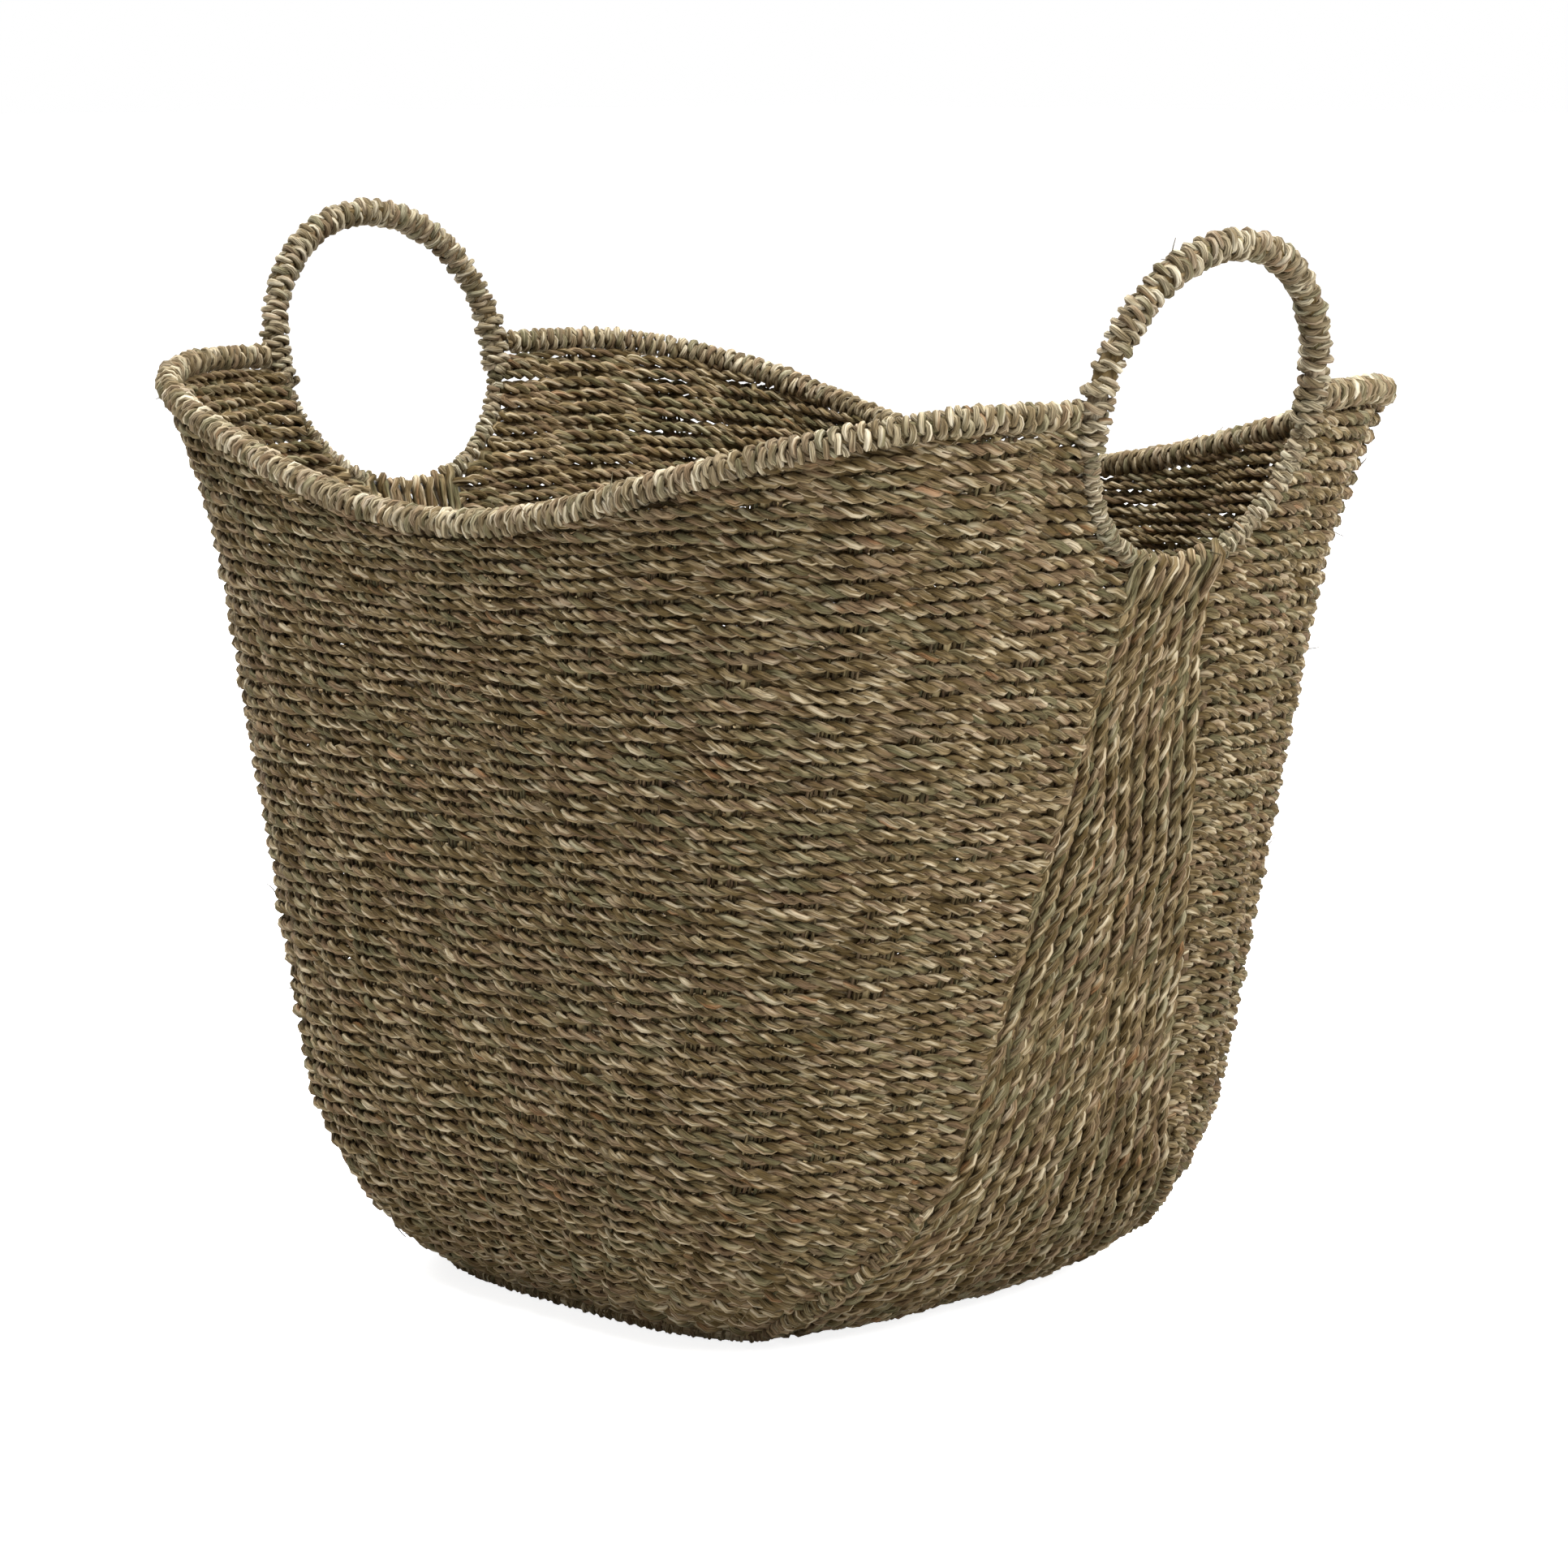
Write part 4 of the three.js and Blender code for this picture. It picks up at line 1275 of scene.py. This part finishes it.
for side, facing in LONG_SIDES:
    core = rim_core() * facing
    made = wound_strands(core, UP, RIM_WOUND)
    made += loose_ends(made, LOOSE_ENDS_IN_RIM)
    rope_piece(f"{side}_rim_cord", made, rim_grass, [f"{side}_rim_winding"])
    made = core_strand(core, RIM_CORE)
    rope_piece(f"{side}_rim_core", made, weave_grass, [f"{side}_rim_padding"])
    print(side, "rim:", pieces[f"{side}_rim_cord"], "triangles")

# %% [markdown]
# Each handle is a ring. Its upper half is padded and wound as a grip, its lower half is bound with a
# thinner cord as the edge of the opening, and a tie on each side lashes it to the rim.

# %% Wind the grips, the edges of the openings and the ties
GRIP_RADIUS = 6.3 * MM
GRIP_WOUND = GRIP_RADIUS - 0.4 * MM
GRIP_CORE = 3.8 * MM
GRIP_CORD = (4.5 * MM, 2.25 * MM, 12 * MM)
LOOSE_ENDS_IN_GRIP = 2
BINDING_WOUND = 4.2 * MM
BINDING_CORE = 2.3 * MM
BINDING_CORD = (3.9 * MM, 1.9 * MM, 8 * MM)
TIE_WOUND = TIE_RADIUS + 0.9 * MM
TIE_CORE = 3.6 * MM
TIE_ANGLE = 2 * math.pi / 32
TIED_SIDES = {"right": [("front", math.pi), ("back", 0)], "left": [("back", math.pi), ("front", 0)]}
HOOKED_ANGLE = math.asin(float(gusset_width(np.array(GUSSET_TOP))) / 2 / RING_RADIUS)
OPENING_ARCS = [
    (-TIE_ANGLE, HOOKED_ANGLE - math.pi / 2),
    (math.pi + TIE_ANGLE, 1.5 * math.pi - HOOKED_ANGLE),
]


def ring_arc(start, stop, facing):
    points, _ = ring_point(np.linspace(start, stop, 120))
    return points * facing


for end, facing in ENDS:
    out = RING_OUT * facing
    core = ring_arc(math.pi - TIE_ANGLE, TIE_ANGLE, facing)
    made = wound_strands(core, out, GRIP_WOUND, GRIP_CORD)
    made += loose_ends(made, LOOSE_ENDS_IN_GRIP)
    rope_piece(f"{end}_grip_cord", made, cord_grass, [f"{end}_grip_winding"])
    made = core_strand(core, GRIP_CORE)
    rope_piece(f"{end}_grip_core", made, weave_grass, [f"{end}_grip_padding"])
    made = []
    for start, stop in OPENING_ARCS:
        core = ring_arc(start, stop, facing)
        made += wound_strands(core, out, BINDING_WOUND, BINDING_CORD)
        made += core_strand(core, BINDING_CORE)
    rope_piece(f"{end}_opening_cord", made, cord_grass, [f"{end}_opening_binding"])
    for side, middle in TIED_SIDES[end]:
        core = ring_arc(middle - TIE_ANGLE, middle + TIE_ANGLE, facing)
        made = wound_strands(core, out, TIE_WOUND) + core_strand(core, TIE_CORE)
        rope_piece(f"{end}_{side}_tie_cord", made, cord_grass, [f"{end}_{side}_tie"])
    print(end, "grip:", pieces[f"{end}_grip_cord"], "triangles")

# %% [markdown]
# The edge of the base is wound with a thin cord along the front and the back, and a wound band climbs
# a little way up each seam before it runs out under the weave. At the ends the upright ropes turn in
# under the edge instead. The seam wire lies in a bundle of grass, darkened as painted shade, all the
# way up, with a second bundle behind the band, because nothing else closes the joint between a panel
# and a gusset.

# %% Wind the edge of the base and the feet of the seams
EDGE_WOUND_CORD = (2.9 * MM, 1.6 * MM, 9 * MM)
EDGE_CORE = 2.7 * MM
BAND_CORD = (3.6 * MM, 1.8 * MM, 9 * MM)
BAND_CORE = 2.3 * MM
BAND_DEPTH = MID_WALL - 2 * MM
BAND_FACING = np.array([0, -1.0, 0.3])
LINING_STEP = 4
SEAM_BUNDLE = (1.0, GUSSET_TOP + 4 * MM, MID_WALL, 2.3 * MM)
INNER_BUNDLE = (1.012, BAND_TOP + 20 * MM, MID_WALL + 1.6 * MM, 2.5 * MM)


def base_edge():
    outline = front_surface(np.linspace(-1, 1, 500), EDGE_LEVEL)
    edge = outline + inwards_of(outline) * EDGE_INSET
    edge[:, 2] = EDGE_CORD
    return edge


def seam_line(share, highest, depth):
    heights = EDGE_LEVEL + np.linspace(0, 1, 400) ** 2 * (highest - EDGE_LEVEL)
    line, _ = inside(front_surface, share, heights, depth)
    return off_floor(line, SEAM_BAND)


def seam_bundle(seam, bundle, facing):
    share, top, depth, radius = bundle
    line = seam_line(seam * share, top, depth) * facing
    return core_strand(line[::LINING_STEP], radius)


for side, facing in LONG_SIDES:
    edge = base_edge() * facing
    made = wound_strands(edge, UP, EDGE_CORD, EDGE_WOUND_CORD) + core_strand(edge, EDGE_CORE)
    rope_piece(f"{side}_base_edge_cord", made, weave_grass, [f"{side}_panel"])
    made = []
    lining = []
    for seam in (-1.0, 1.0):
        foot = seam_line(seam, BAND_TOP, BAND_DEPTH) * facing
        made += wound_strands(foot, BAND_FACING * facing, SEAM_BAND, BAND_CORD)
        made += core_strand(foot, BAND_CORE)
        lining += seam_bundle(seam, SEAM_BUNDLE, facing)
        lining += seam_bundle(seam, INNER_BUNDLE, facing)
    rope_piece(f"{side}_seam_foot_cord", made, weave_grass, [f"{side}_panel"])
    rope_piece(f"{side}_seam_lining", lining, painted_shade_grass, [f"{side}_panel"])
print("base edge:", pieces["front_base_edge_cord"], "triangles a side")
print("triangles in all:", sum(pieces.values()))

# %% [markdown]
# The basket stands on a plain pale floor in soft studio light. The background is white to the camera
# and in reflections alone, so it adds no light, and the floor keeps the basket's shadow. The key lamp
# stands to the right. Of two lamps above, one is to the front and lights the near side, and one is
# overhead and reaches inside. Two weaker ones, at the left and behind, keep the far sides open.

# %% Floor and backdrop
FLOOR_GREY = 0.76
FLOOR_GLOW = 0.85
FLOOR_HALF_SIZE = 30
WHITE = (1, 1, 1, 1)


def floor_finish():
    finish = Finish("floor_white", Base_Color=(FLOOR_GREY, FLOOR_GREY, FLOOR_GREY, 1), Roughness=0.9)
    inputs = {"Color": WHITE, "Strength": finish.seen() * FLOOR_GLOW}
    glow = finish.node("ShaderNodeEmission", None, inputs)
    inputs = {0: finish.shader.outputs[0], 1: glow.outputs[0]}
    both = finish.node("ShaderNodeAddShader", None, inputs)
    finish.feed(finish.tree.nodes["Material Output"].inputs["Surface"], both.outputs[0])
    return finish.material


def floor():
    shape = bmesh.new()
    bmesh.ops.create_grid(shape, x_segments=1, y_segments=1, size=FLOOR_HALF_SIZE)
    mesh = bpy.data.meshes.new("floor")
    shape.to_mesh(mesh)
    shape.free()
    mesh.materials.append(floor_finish())
    piece = bpy.data.objects.new("floor", mesh)
    bpy.context.scene.collection.objects.link(piece)


floor()
print("floor:", 2 * FLOOR_HALF_SIZE, "metres wide")

# %% Lamps and world
WORLD_LIGHT = 0.24


def lamp(name, location, size, power):
    light = bpy.data.lights.new(name, "AREA")
    light.shape = "DISK"
    light.size = size
    light.energy = power
    piece = bpy.data.objects.new(name, light)
    piece.location = location
    piece.rotation_euler = (Vector(location) - LOOK_AT).to_track_quat("Z", "Y").to_euler()
    bpy.context.scene.collection.objects.link(piece)


def studio():
    world = bpy.data.worlds.new("studio")
    world.use_nodes = True
    nodes = Nodes(world.node_tree)
    inputs = {"Value": nodes.seen(), "To Min": WORLD_LIGHT, "To Max": 1}
    strength = nodes.node("ShaderNodeMapRange", None, inputs).outputs[0]
    background = world.node_tree.nodes["Background"]
    nodes.feed(background.inputs["Color"], WHITE)
    nodes.feed(background.inputs["Strength"], strength)
    return world


lamp("key", (1.95, 0.25, 1.65), 1.3, 57)
lamp("top", (0.0, -0.95, 2.8), 1.2, 71)
lamp("over", (0.2, 0.1, 2.9), 1.4, 36)
lamp("left", (-2.0, 0.2, 1.8), 1.6, 55)
lamp("back", (-0.6, 2.2, 1.8), 1.6, 40)
bpy.context.scene.world = studio()
bpy.context.scene.view_settings.view_transform = "Standard"
print("lamps:", [light.name for light in bpy.data.lights])
